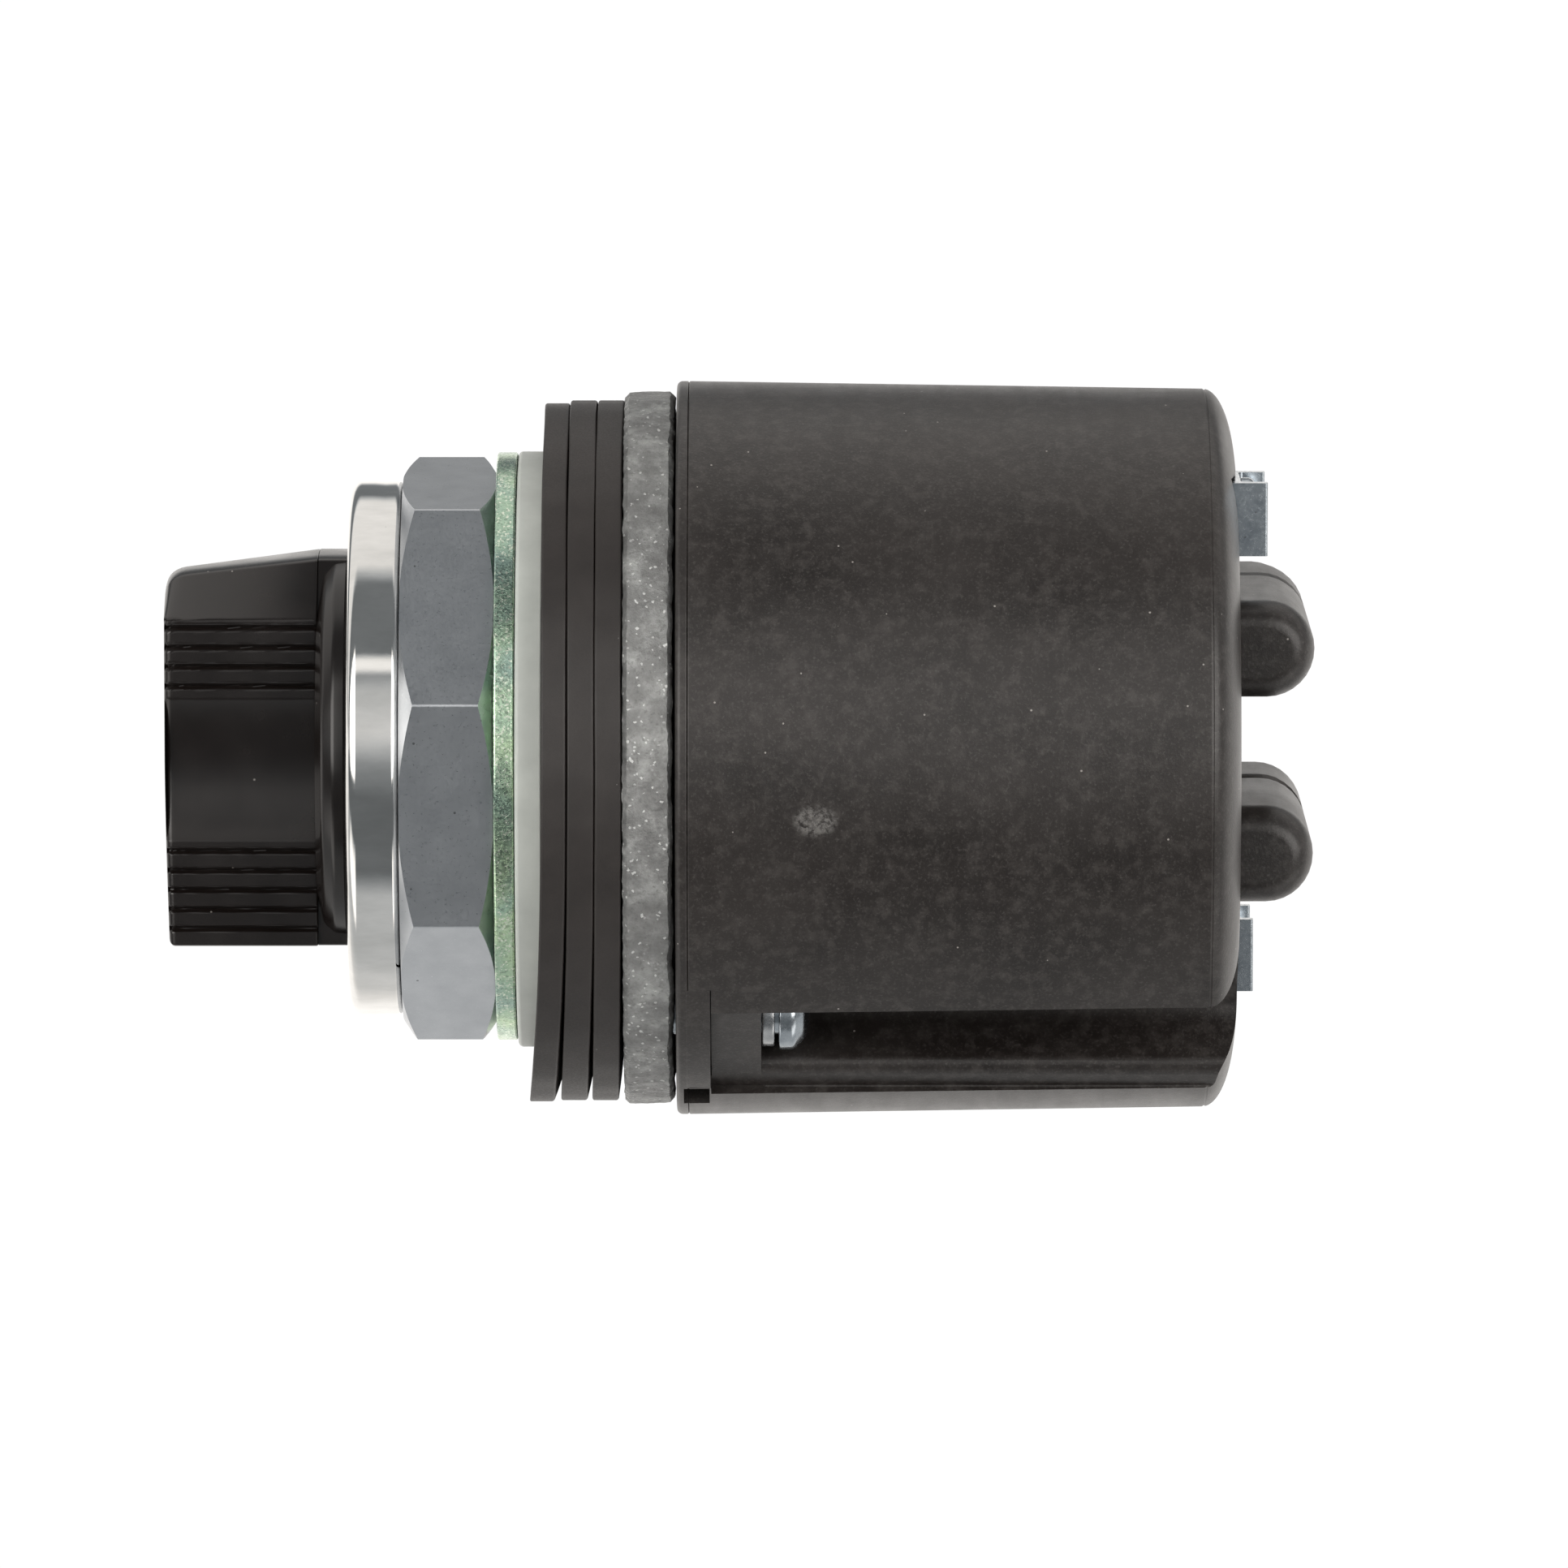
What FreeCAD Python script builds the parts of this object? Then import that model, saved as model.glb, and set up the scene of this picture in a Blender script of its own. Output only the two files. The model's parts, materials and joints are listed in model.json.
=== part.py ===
import FreeCAD, Part

import math
import os

# Oil-tight rotary selector switch for a 30.5 mm panel hole, with a round two-circuit contact block.
# The switch axis lies along X: the knob points to -X and the terminals to +X, with +Z up.
# The origin is on that axis, on the face of the first gasket that the panel is clamped against.
# All sizes are in millimetres. Angles round the axis are in degrees: 0 is -Y, 90 is straight down.

V = FreeCAD.Vector
X_AXIS = V(1, 0, 0)
FAR = 60.0

# ---- driving dimensions ----
BARREL_R = 14.9
BARREL_FRONT_X = -11.6
FLANGE_R = 22.9
FLANGE_X0 = 5.15
FLANGE_X1 = 8.5
THREAD_PITCH = 1.27
THREAD_DEPTH = 0.45

GASKET_R = 22.7
GASKET_BORE_R = 15.2
GASKET_FACES = [0.0, 1.65, 3.4, 5.15]

NUT_ACROSS_FLATS = 35.2
NUT_X0 = -9.1
NUT_X1 = -3.1
NUT_VERTEX_ANGLE = -14.9
CLAMP_BORE_R = 14.97
RING_R = 17.3
RING_X0 = -12.5
RING_X1 = -9.2
GROUND_WASHER_R = 19.2
TRIM_WASHER_R = 19.4
WASHER_BORE_R = 15.1

KEY_HALF_WIDTH = 2.2
KEY_TOP_Z = 16.4
KEY_FRONT_X = -1.6

KNOB_X0 = -24.5
GRIP_X1 = -14.5
SKIRT_X1 = -12.6
SKIRT_R = 12.8
GRIP_HALF_WIDTH = 6.3
GRIP_CREST_HALF_WIDTH = 2.6
GRIP_ROOT_HALF_WIDTH = 5.9
GRIP_BOTTOM_Z = -12.4
GRIP_TOP_Z = 12.8
GRIP_NOSE_Z = 11.55
HUB_R = 8.6
HUB_X1 = -9.2
SERRATION_PITCH = 1.26
SERRATION_DEPTH = 0.32
UPPER_SERRATIONS = [8.5, 7.24, 5.98, 4.72]
LOWER_SERRATIONS = [-5.95, -7.21, -8.47, -9.73, -10.99]

SHAFT_R = 3.15
SHAFT_BORE_R = 3.2
SHAFT_X0 = -21.0
SHAFT_X1 = 12.6
ORING_X = -7.4
ORING_RING_R = 3.56
ORING_CORD_R = 0.88

DETENT_DISC_R = 8.55
DETENT_X0 = 5.6
DETENT_X1 = 8.0
DETENT_BALL_R = 1.2
DETENT_BALL_ORBIT = 9.8
DETENT_NOTCH_ORBIT = 9.5
DETENT_STEP = 45.0

CAM_R = 10.8
CAM_X0 = 9.7
CAM_MEAN_X = 15.0
PLUNGER_Y = 5.2
PLUNGER_TRAVEL = 1.4
CAM_SLOPE = PLUNGER_TRAVEL / (PLUNGER_Y * math.sin(math.radians(DETENT_STEP)))
CAM_GAP = 0.08

BLOCK_X0 = 8.5
HOUSING_X0 = 9.3
HOUSING_X1 = 44.5
HOUSING_R = 23.7
HOUSING_REAR_R = 23.15
CROWN_DEPTH = 2.0
CROWN_BREADTH = 5.5
FRONT_CAVITY_R = 16.2

SCREW_ORBIT = 20.0
SCREW_ANGLES = [50.9, 230.9]
CHANNEL_X0 = 13.97
LUG_X0 = 10.76
CHANNEL_UPPER = -4.95
CHANNEL_LOWER = 2.75
CHANNEL_LIP = 4.95
CHANNEL_FLOOR_R = 17.2
LAND_R = 22.5

DECK_Z = 1.0
RIB_Z = [DECK_Z + 6.7, DECK_Z - 6.5]
RIB_HALF_LENGTH = 13.0
RIB_HALF_WIDTH = 3.05
RIB_HEIGHT = 4.85

TERMINAL_Z = 14.9
TERMINAL_Y = {"near_top": -6.4, "near_bottom": -3.4, "far_top": 3.4, "far_bottom": 6.4}
TERMINAL_BACKED_OFF = {"near_top": 3.3, "near_bottom": 0.0, "far_top": 0.4, "far_bottom": 2.85}
CLAMP_WIDTH = 7.8
CLAMP_HEIGHT = 4.7
CLAMP_THICK = 0.9
PLATE_X0 = 39.2
PLATE_THICK = 1.2
BRIDGE_X0 = 25.0
BRIDGE_THICK = 0.8
TIP_R = 1.4
TIP_THICK = 0.5
FOOT_Z = 8.6


# ---- solids shared by several parts ----
def ring(x0, x1, outer_r, inner_r=0.0):
    """A disc or ring about the switch axis."""
    disc = Part.makeCylinder(outer_r, x1 - x0, V(x0, 0, 0), X_AXIS)
    if inner_r <= 0:
        return disc
    return disc.cut(Part.makeCylinder(inner_r, x1 - x0, V(x0, 0, 0), X_AXIS))


def block(x0, x1, y0, y1, z0, z1):
    """A rectangular block between two corners."""
    return Part.makeBox(x1 - x0, y1 - y0, z1 - z0, V(x0, y0, z0))


def rod(x0, x1, y, z, r):
    """A round rod parallel to the switch axis."""
    return Part.makeCylinder(r, x1 - x0, V(x0, y, z), X_AXIS)


def turned(points):
    """A solid turned about the switch axis from its outline of (x, radius) points."""
    wire = Part.makePolygon([V(x, 0, r) for x, r in points + points[:1]])
    return Part.Face(wire).revolve(V(0, 0, 0), X_AXIS, 360)


def spun(shape, angle):
    """The shape turned about the switch axis."""
    copy = shape.copy()
    copy.rotate(V(0, 0, 0), X_AXIS, angle)
    return copy


def sector(x0, x1, outer_r, inner_r, angle0, angle1):
    """A piece of a ring between two angles."""
    half = math.radians(angle1 - angle0) / 2
    reach = FAR * math.tan(half)
    wedge_points = [V(x0, 0, 0), V(x0, -FAR, -reach), V(x0, -FAR, reach), V(x0, 0, 0)]
    wedge = Part.Face(Part.makePolygon(wedge_points)).extrude(V(x1 - x0, 0, 0))
    return ring(x0, x1, outer_r, inner_r).common(spun(wedge, (angle0 + angle1) / 2))


def edges_along_x(shape):
    """The straight edges that run parallel to the switch axis."""
    found = []
    for edge in shape.Edges:
        a = edge.Vertexes[0].Point
        b = edge.Vertexes[-1].Point
        length = a.distanceToPoint(b)
        if length > 1e-6 and abs(abs(b.x - a.x) - length) < 1e-6:
            found.append(edge)
    return found


def edges_at(shape, y):
    """Those of the edges along the axis that lie at one depth."""
    return [e for e in edges_along_x(shape) if abs(e.Vertexes[0].Point.y - y) < 1e-6]


def coil(x0, x1, y, z, radius, wire_r, turns):
    """A compression spring whose axis is parallel to the switch axis."""
    rise = x1 - x0 - 2 * wire_r
    helix = Part.makeHelix(rise / turns, rise, radius)
    section = Part.Wire(Part.makeCircle(wire_r, V(radius, 0, 0), V(0, 1, 0)))
    spring = Part.Wire(helix).makePipeShell([section], True, True)
    spring.rotate(V(0, 0, 0), V(0, 1, 0), 90)
    spring.translate(V(x0 + wire_r, y, z))
    return spring


def slotted_screw(x_seat, y, z, head_r, head_height, shank_r, shank_length, slot_angle):
    """A pan-head slotted screw whose head stands behind x_seat and whose shank runs to -X."""
    head = rod(x_seat, x_seat + head_height, y, z, head_r)
    rim = [e for e in head.Edges if abs(e.BoundBox.XMin - x_seat - head_height) < 1e-6]
    rim = [e for e in rim if e.BoundBox.XLength < 1e-6]
    head = head.makeFillet(head_height * 0.55, rim)
    slot = block(x_seat + head_height * 0.55, x_seat + FAR, -FAR, FAR, -0.35, 0.35)
    slot = spun(slot, slot_angle)
    slot.translate(V(0, y, z))
    shank = rod(x_seat - shank_length, x_seat + 0.1, y, z, shank_r)
    tip = shank.Edges[0]
    for edge in shank.Edges:
        if edge.BoundBox.XMax < x_seat - shank_length + 1e-6:
            tip = edge
    return head.cut(slot).fuse(shank.makeChamfer(shank_r * 0.3, [tip])).removeSplitter()


# ---- operator: casting, seals and clamping parts ----
def locating_key(x0, x1, clearance):
    """The key on top of the barrel that stops the switch from turning in the panel."""
    half = KEY_HALF_WIDTH + clearance
    return block(x0, x1, -half, half, BARREL_R - 2.0, KEY_TOP_Z + clearance)


def bushing_casting():
    """Die-cast bushing: threaded barrel, locating key and round rear flange."""
    barrel = ring(BARREL_FRONT_X, FLANGE_X0, BARREL_R)
    groove_x = BARREL_FRONT_X + 1.0
    while groove_x + THREAD_PITCH < KEY_FRONT_X:
        half = THREAD_PITCH * 0.35
        profile = [
            (groove_x - half, BARREL_R + 0.1),
            (groove_x, BARREL_R - THREAD_DEPTH),
            (groove_x + half, BARREL_R + 0.1),
        ]
        barrel = barrel.cut(turned(profile))
        groove_x += THREAD_PITCH
    flange = ring(FLANGE_X0, FLANGE_X1, FLANGE_R)
    rims = [e for e in flange.Edges if e.BoundBox.XLength < 1e-6]
    body = barrel.fuse(flange.makeFillet(0.3, rims))
    body = body.fuse(locating_key(KEY_FRONT_X, FLANGE_X0 + 0.5, 0.0))
    body = body.cut(ring(BARREL_FRONT_X - 1, -8.7, HUB_R + 0.6))
    body = body.cut(ring(-8.8, ORING_X + 1.2, 4.6))
    body = body.cut(ring(-8.8, FAR, SHAFT_BORE_R))
    body = body.cut(ring(2.2, FLANGE_X1 + 1, 11.0))
    middle_x = (FLANGE_X0 + FLANGE_X1) / 2
    for side in (-1, 1):
        pocket = Part.makeCylinder(1.3, 9.0, V(middle_x, 0, side * 10.5), V(0, 0, side))
        body = body.cut(pocket)
    for angle in SCREW_ANGLES:
        body = body.cut(spun(rod(5.7, FAR, -SCREW_ORBIT, 0, 1.5), angle))
    return body.removeSplitter()


def gasket(number):
    """One rubber sealing washer with a slot for the locating key."""
    x0 = GASKET_FACES[number]
    x1 = GASKET_FACES[number + 1]
    disc = ring(x0, x1, GASKET_R, GASKET_BORE_R)
    return disc.cut(locating_key(x0 - 1, x1 + 1, 0.2))


def octagonal_nut():
    """Panel nut with eight flats, bevelled at both ends."""
    corner_r = NUT_ACROSS_FLATS / 2 / math.cos(math.pi / 8)
    corners = []
    for k in range(9):
        a = math.radians(45.0 * k)
        corners.append(V(NUT_X0, -corner_r * math.cos(a), -corner_r * math.sin(a)))
    prism = Part.Face(Part.makePolygon(corners)).extrude(V(NUT_X1 - NUT_X0, 0, 0))
    prism = prism.makeFillet(0.35, edges_along_x(prism))
    bevel_r = NUT_ACROSS_FLATS / 2 - 0.5
    bevel_x = (corner_r - bevel_r) * math.tan(math.radians(30))
    outline = [
        (NUT_X0, 0),
        (NUT_X0, bevel_r),
        (NUT_X0 + bevel_x, corner_r),
        (NUT_X1 - bevel_x, corner_r),
        (NUT_X1, bevel_r),
        (NUT_X1, 0),
    ]
    nut = spun(prism, NUT_VERTEX_ANGLE).common(turned(outline))
    return nut.cut(ring(NUT_X0 - 1, NUT_X1 + 1, CLAMP_BORE_R))


def bezel_ring():
    """Polished ring with a large rounded front shoulder."""
    body = ring(RING_X0, RING_X1, RING_R, CLAMP_BORE_R)
    front = []
    rear = []
    for edge in body.Edges:
        box = edge.BoundBox
        if box.XLength > 1e-6 or box.ZMax < RING_R - 1e-3:
            continue
        if box.XMin < RING_X0 + 1e-3:
            front.append(edge)
        else:
            rear.append(edge)
    return body.makeFillet(1.35, front).makeFillet(0.6, rear)


def ground_washer():
    """Thin plated washer behind the nut."""
    washer = ring(-3.05, -1.75, GROUND_WASHER_R, WASHER_BORE_R)
    rims = [e for e in washer.Edges if e.BoundBox.XLength < 1e-6]
    return washer.makeFillet(0.15, rims)


def trim_washer():
    """Plain grey washer that bears on the panel, slotted for the locating key."""
    washer = ring(-1.7, 0.0, TRIM_WASHER_R, WASHER_BORE_R)
    rims = [e for e in washer.Edges if e.BoundBox.XLength < 1e-6 and e.BoundBox.ZMax > 19]
    washer = washer.makeFillet(0.2, rims)
    return washer.cut(locating_key(-3, 1, 0.2))


# ---- operator: knob, shaft and detent ----
def grip_outline():
    """The grip's section seen along the axis: scooped cheeks that draw in towards the crest."""
    w = GRIP_HALF_WIDTH
    c = GRIP_CREST_HALF_WIDTH
    scoop = 1.15
    shoulder = 9.0
    crest_edge = GRIP_TOP_Z - 0.25
    foot = GRIP_BOTTOM_Z + 0.35
    curves = [
        Part.Arc(V(0, -c, crest_edge), V(0, 0, GRIP_TOP_Z), V(0, c, crest_edge)),
        Part.LineSegment(V(0, c, crest_edge), V(0, w, shoulder)),
        Part.LineSegment(V(0, w, shoulder), V(0, w, 3.9)),
        Part.Arc(V(0, w, 3.9), V(0, w - scoop, -0.7), V(0, w, -5.3)),
        Part.LineSegment(V(0, w, -5.3), V(0, w, foot)),
        Part.Arc(V(0, w, foot), V(0, 0, GRIP_BOTTOM_Z), V(0, -w, foot)),
        Part.LineSegment(V(0, -w, foot), V(0, -w, -5.3)),
        Part.Arc(V(0, -w, -5.3), V(0, -w + scoop, -0.7), V(0, -w, 3.9)),
        Part.LineSegment(V(0, -w, 3.9), V(0, -w, shoulder)),
        Part.LineSegment(V(0, -w, shoulder), V(0, -c, crest_edge)),
    ]
    return Part.Wire([curve.toShape() for curve in curves])


def serration(z, side):
    """One V groove along a cheek of the grip."""
    y = side * GRIP_HALF_WIDTH
    inner = y - side * SERRATION_DEPTH
    outer = y + side * 0.3
    half = SERRATION_PITCH * 0.3
    points = [V(KNOB_X0 - 2, outer, z + half * 1.6), V(KNOB_X0 - 2, inner, z)]
    points += [V(KNOB_X0 - 2, outer, z - half * 1.6), points[0]]
    return Part.Face(Part.makePolygon(points)).extrude(V(GRIP_X1 - 0.3 - KNOB_X0 + 2, 0, 0))


def knob():
    """Moulded knob: serrated grip on a round skirt, with a hub that enters the casting."""
    grip = Part.Face(grip_outline()).extrude(V(SKIRT_X1 - KNOB_X0, 0, 0))
    grip.translate(V(KNOB_X0, 0, 0))
    front_edges = [e for e in grip.Edges if e.BoundBox.XMax < KNOB_X0 + 1e-3]
    grip = grip.makeFillet(0.45, front_edges)
    nose = Part.makePolygon(
        [
            V(KNOB_X0 - 1, -FAR, GRIP_NOSE_Z - 1.2),
            V(KNOB_X0 - 0.05, -FAR, GRIP_NOSE_Z - 1.2),
            V(KNOB_X0 + 1.35, -FAR, GRIP_NOSE_Z),
            V(GRIP_X1 + 1.0, -FAR, GRIP_TOP_Z + 0.05),
            V(GRIP_X1 + 1.0, -FAR, FAR),
            V(KNOB_X0 - 1, -FAR, FAR),
            V(KNOB_X0 - 1, -FAR, GRIP_NOSE_Z - 1.2),
        ]
    )
    grip = grip.cut(Part.Face(nose).extrude(V(0, 2 * FAR, 0)))
    for side in (-1, 1):
        y0, y1 = sorted((side * GRIP_ROOT_HALF_WIDTH, side * FAR))
        grip = grip.cut(block(GRIP_X1, FAR, y0, y1, -FAR, FAR))
        for z in UPPER_SERRATIONS + LOWER_SERRATIONS:
            grip = grip.cut(serration(z, side))
    skirt_points = [(SKIRT_X1, 0), (SKIRT_X1, SKIRT_R - 0.15), (SKIRT_X1 - 0.15, SKIRT_R)]
    skirt_points += [(SKIRT_X1 - 0.75, SKIRT_R - 0.05)]
    for k in range(1, 7):
        a = math.radians(15.0 * k)
        skirt_points.append(
            (SKIRT_X1 - 0.75 - 1.25 * (1 - math.cos(a)), SKIRT_R - 0.05 - 1.6 * math.sin(a))
        )
    skirt_points.append((SKIRT_X1 - 2.05, 0))
    body = turned(skirt_points).fuse(grip)
    body = body.fuse(ring(SKIRT_X1 - 0.1, HUB_X1, HUB_R))
    body = body.cut(ring(SHAFT_X0 - 0.05, FAR, SHAFT_R + 0.02))
    body = body.cut(Part.makeCylinder(1.3, FAR, V(-18.4, 0, 0), V(0, 0, -1)))
    body = body.cut(pointer_insert_at(0.02))
    return body.removeSplitter()


def pointer_insert_at(clearance):
    """The indicator bar let into the front of the grip, at its upper end."""
    half = 0.75 + clearance
    return block(KNOB_X0 - 0.001, KNOB_X0 + 0.6, -half, half, 1.5 - clearance, 9.6 + clearance)


def shaft():
    """Steel spindle with an O-ring groove and a square drive for the cam."""
    body = ring(SHAFT_X0, SHAFT_X1 - 3.0, SHAFT_R)
    body = body.cut(ring(ORING_X - 0.95, ORING_X + 0.95, SHAFT_R + 1, 2.6))
    body = body.cut(ring(8.15, 8.6, SHAFT_R + 1, 2.5))
    drive = block(SHAFT_X1 - 3.1, SHAFT_X1, -2.1, 2.1, -2.1, 2.1)
    flat = block(SHAFT_X0 - 1, -15.6, -FAR, FAR, -FAR, -2.65)
    return body.fuse(drive).cut(flat).removeSplitter()


def shaft_oring():
    """Rubber seal in the shaft's groove."""
    return Part.makeTorus(ORING_RING_R, ORING_CORD_R, V(ORING_X, 0, 0), X_AXIS)


def detent_disc():
    """Notched disc on the shaft, with three rests for each ball."""
    disc = ring(DETENT_X0, DETENT_X1, DETENT_DISC_R, SHAFT_R + 0.02)
    for side in (90.0, 270.0):
        for step in (-DETENT_STEP, 0.0, DETENT_STEP):
            notch = rod(DETENT_X0 - 1, DETENT_X1 + 1, -DETENT_NOTCH_ORBIT, 0, DETENT_BALL_R + 0.08)
            disc = disc.cut(spun(notch, side + step))
    return disc


def detent_balls():
    """Two balls, above and below the disc."""
    middle_x = (DETENT_X0 + DETENT_X1) / 2
    balls = [
        Part.makeSphere(DETENT_BALL_R, V(middle_x, 0, side * DETENT_BALL_ORBIT))
        for side in (-1, 1)
    ]
    return Part.makeCompound(balls)


def detent_springs():
    """The two coils that press the balls inward."""
    springs = []
    middle_x = (DETENT_X0 + DETENT_X1) / 2
    for side in (-1, 1):
        spring = coil(11.1, 19.3, 0, 0, 0.85, 0.2, 6)
        spring.rotate(V(0, 0, 0), V(0, 1, 0), -90 * side)
        spring.translate(V(middle_x, 0, 0))
        springs.append(spring)
    return Part.makeCompound(springs)


def retaining_ring():
    """Open clip in the shaft's rear groove."""
    clip = ring(8.18, 8.56, 4.6, 2.55)
    return clip.cut(block(8, 9, -1.6, 1.6, 0, FAR))


def cam():
    """Swash cam: its sloping rear face moves the two plungers in opposite directions."""
    body = ring(CAM_X0, CAM_MEAN_X + CAM_R, CAM_R)
    slope = CAM_SLOPE * FAR
    cutter_points = [
        V(CAM_MEAN_X - slope, -FAR, -FAR),
        V(CAM_MEAN_X + slope, -FAR, FAR),
        V(2 * FAR, -FAR, FAR),
        V(2 * FAR, -FAR, -FAR),
        V(CAM_MEAN_X - slope, -FAR, -FAR),
    ]
    body = body.cut(Part.Face(Part.makePolygon(cutter_points)).extrude(V(0, 2 * FAR, 0)))
    half = 2.12
    return body.cut(block(CAM_X0 - 1, SHAFT_X1 + 0.05, -half, half, -half, half))


# ---- contact block: moulded parts ----
def channel_cutter():
    """Screwdriver channel: a deep trough beside a shallow land, open to the rear."""
    outline = [
        V(CHANNEL_X0, -FAR, CHANNEL_UPPER),
        V(CHANNEL_X0, -CHANNEL_FLOOR_R, CHANNEL_UPPER),
        V(CHANNEL_X0, -CHANNEL_FLOOR_R, CHANNEL_LOWER),
        V(CHANNEL_X0, -LAND_R, CHANNEL_LOWER),
        V(CHANNEL_X0, -LAND_R, CHANNEL_LIP),
        V(CHANNEL_X0, -FAR, CHANNEL_LIP),
        V(CHANNEL_X0, -FAR, CHANNEL_UPPER),
    ]
    trough = Part.Face(Part.makePolygon(outline)).extrude(V(FAR, 0, 0))
    trough = trough.makeFillet(1.6, edges_at(trough, -CHANNEL_FLOOR_R))
    crease = [e for e in edges_at(trough, -LAND_R) if e.Vertexes[0].Point.z < CHANNEL_LIP - 1e-3]
    trough = trough.makeFillet(0.9, crease)
    lug_face = block(LUG_X0, CHANNEL_X0 + 1, -FAR, -LAND_R, CHANNEL_UPPER, CHANNEL_LIP)
    # The outline is drawn with +Z towards the upper lip's far side, so it is mirrored into place.
    both = trough.fuse(lug_face)
    return both.mirror(V(0, 0, 0), V(0, 0, 1))


def rib(z):
    """Barrier between terminal rows: rounded crest and rounded ends."""
    half = RIB_HALF_LENGTH
    bar = block(HOUSING_X1 - 0.6, HOUSING_X1 + RIB_HEIGHT, -half, half, -RIB_HALF_WIDTH, RIB_HALF_WIDTH)
    crest = []
    for edge in bar.Edges:
        box = edge.BoundBox
        on_top = box.XMin > HOUSING_X1 + RIB_HEIGHT - 1e-3
        if on_top and box.YLength > 1:
            crest.append(edge)
    bar = bar.makeFillet(RIB_HALF_WIDTH - 0.25, crest)
    ends = [e for e in bar.Edges if e.BoundBox.YLength < 1e-3 and e.BoundBox.XMin > HOUSING_X1 - 0.5]
    bar = bar.makeFillet(0.8, ends)
    groove = block(HOUSING_X1 + 0.8, FAR, 4.0, 5.0, -FAR, FAR)
    bar = bar.cut(groove)
    bar.translate(V(0, 0, z))
    return bar


def terminal_centre(name):
    """Where a terminal's screw stands, as (y, z)."""
    side = 1 if name.endswith("top") else -1
    return TERMINAL_Y[name], DECK_Z + side * TERMINAL_Z


def terminal_room(name):
    """The pocket, strip slot and screw relief of one terminal."""
    y, z = terminal_centre(name)
    side = 1 if name.endswith("top") else -1
    half_w = CLAMP_WIDTH / 2 + 0.3
    half_h = CLAMP_HEIGHT / 2 + 0.3
    pocket = block(PLATE_X0 + PLATE_THICK, FAR, y - half_w, y + half_w, z - half_h, z + half_h)
    inner = DECK_Z + side * 10.9
    outer = z + side * (half_h - 0.05)
    low, high = min(inner, outer), max(inner, outer)
    strip = block(PLATE_X0, PLATE_X0 + PLATE_THICK + 0.01, y - 3.7, y + 3.7, low, high)
    relief = rod(30.5, PLATE_X0 + 0.1, y, z, 2.0)
    return [pocket, strip, relief]


def latch_window(clearance):
    """Where a tab of the base plate clips over the housing's front edge."""
    inner_r = HOUSING_R - 1.5 - clearance
    x1 = LUG_X0 - 0.02 + clearance
    return sector(HOUSING_X0 - 0.01, x1, HOUSING_R + 1, inner_r, 33.9 - clearance, 60.3 + clearance)


def latch_notch():
    """Release notch beside each tab, cut through plate and housing."""
    return sector(HOUSING_X0 - 0.3, LUG_X0 - 0.1, HOUSING_R + 1, HOUSING_R - 1.7, 60.6, 68.0)


def crowned_blank():
    """The drafted body before it is hollowed, its rear corner turned to a quarter of an ellipse."""
    corner = V(HOUSING_X1 - CROWN_DEPTH, 0, HOUSING_REAR_R)
    flat_end = V(HOUSING_X1, 0, HOUSING_REAR_R - CROWN_BREADTH)
    centre = V(corner.x, 0, flat_end.z)
    ellipse = Part.Ellipse(corner, flat_end, centre)
    edges = [
        Part.makeLine(V(HOUSING_X0, 0, 0), V(HOUSING_X0, 0, HOUSING_R)),
        Part.makeLine(V(HOUSING_X0, 0, HOUSING_R), corner),
        Part.ArcOfEllipse(ellipse, 0, math.pi / 2).toShape(),
        Part.makeLine(flat_end, V(HOUSING_X1, 0, 0)),
        Part.makeLine(V(HOUSING_X1, 0, 0), V(HOUSING_X0, 0, 0)),
    ]
    return Part.Face(Part.Wire(edges)).revolve(V(0, 0, 0), X_AXIS, 360)


def housing():
    """Round moulded body with channels, terminal pockets, barrier ribs and hollow interior."""
    body = crowned_blank()
    for angle in SCREW_ANGLES:
        body = body.cut(spun(channel_cutter(), angle))
        body = body.cut(spun(rod(HOUSING_X0 - 1, CHANNEL_X0 + 1, -SCREW_ORBIT, 0, 1.6), angle))
        turn = angle - SCREW_ANGLES[0]
        body = body.cut(spun(latch_window(0.05), turn))
        body = body.cut(spun(latch_notch(), turn))
    for z in RIB_Z:
        body = body.fuse(rib(z))
    body = body.cut(ring(HOUSING_X0 - 1, 21.0, FRONT_CAVITY_R))
    for side in (-1, 1):
        y0, y1 = sorted((side * 1.2, side * 9.2))
        body = body.cut(block(20.9, PLATE_X0, y0, y1, DECK_Z - 12.2, DECK_Z + 12.2))
    for name in TERMINAL_Y:
        for cutter in terminal_room(name):
            body = body.cut(cutter)
    body = body.cut(block(HOUSING_X1 - 0.5, FAR, -3.05, 3.05, DECK_Z - 0.9, DECK_Z + 2.3))
    return body.removeSplitter()


def base_plate():
    """Front cover of the block, with two latch tabs."""
    plate = ring(BLOCK_X0, HOUSING_X0, HOUSING_R, 11.5)
    front_rim = [e for e in plate.Edges if e.BoundBox.XMax < BLOCK_X0 + 1e-3 and e.BoundBox.ZMax > 20]
    plate = plate.makeFillet(0.3, front_rim)
    for angle in SCREW_ANGLES:
        turn = angle - SCREW_ANGLES[0]
        tab = sector(HOUSING_X0 - 0.4, LUG_X0 - 0.02, HOUSING_R - 0.03, HOUSING_R - 1.5, 33.9, 60.3)
        plate = plate.fuse(spun(tab, turn))
        plate = plate.cut(spun(latch_notch(), turn))
        plate = plate.cut(spun(rod(BLOCK_X0 - 1, HOUSING_X0 + 0.01, -SCREW_ORBIT, 0, 1.6), angle))
    return plate.removeSplitter()


def plunger_guide():
    """Insulating disc that guides both plungers."""
    disc = ring(19.2, 20.95, FRONT_CAVITY_R - 0.05)
    for side in (-1, 1):
        disc = disc.cut(rod(18, 22, side * PLUNGER_Y, 0, 1.65))
    return disc


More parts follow.
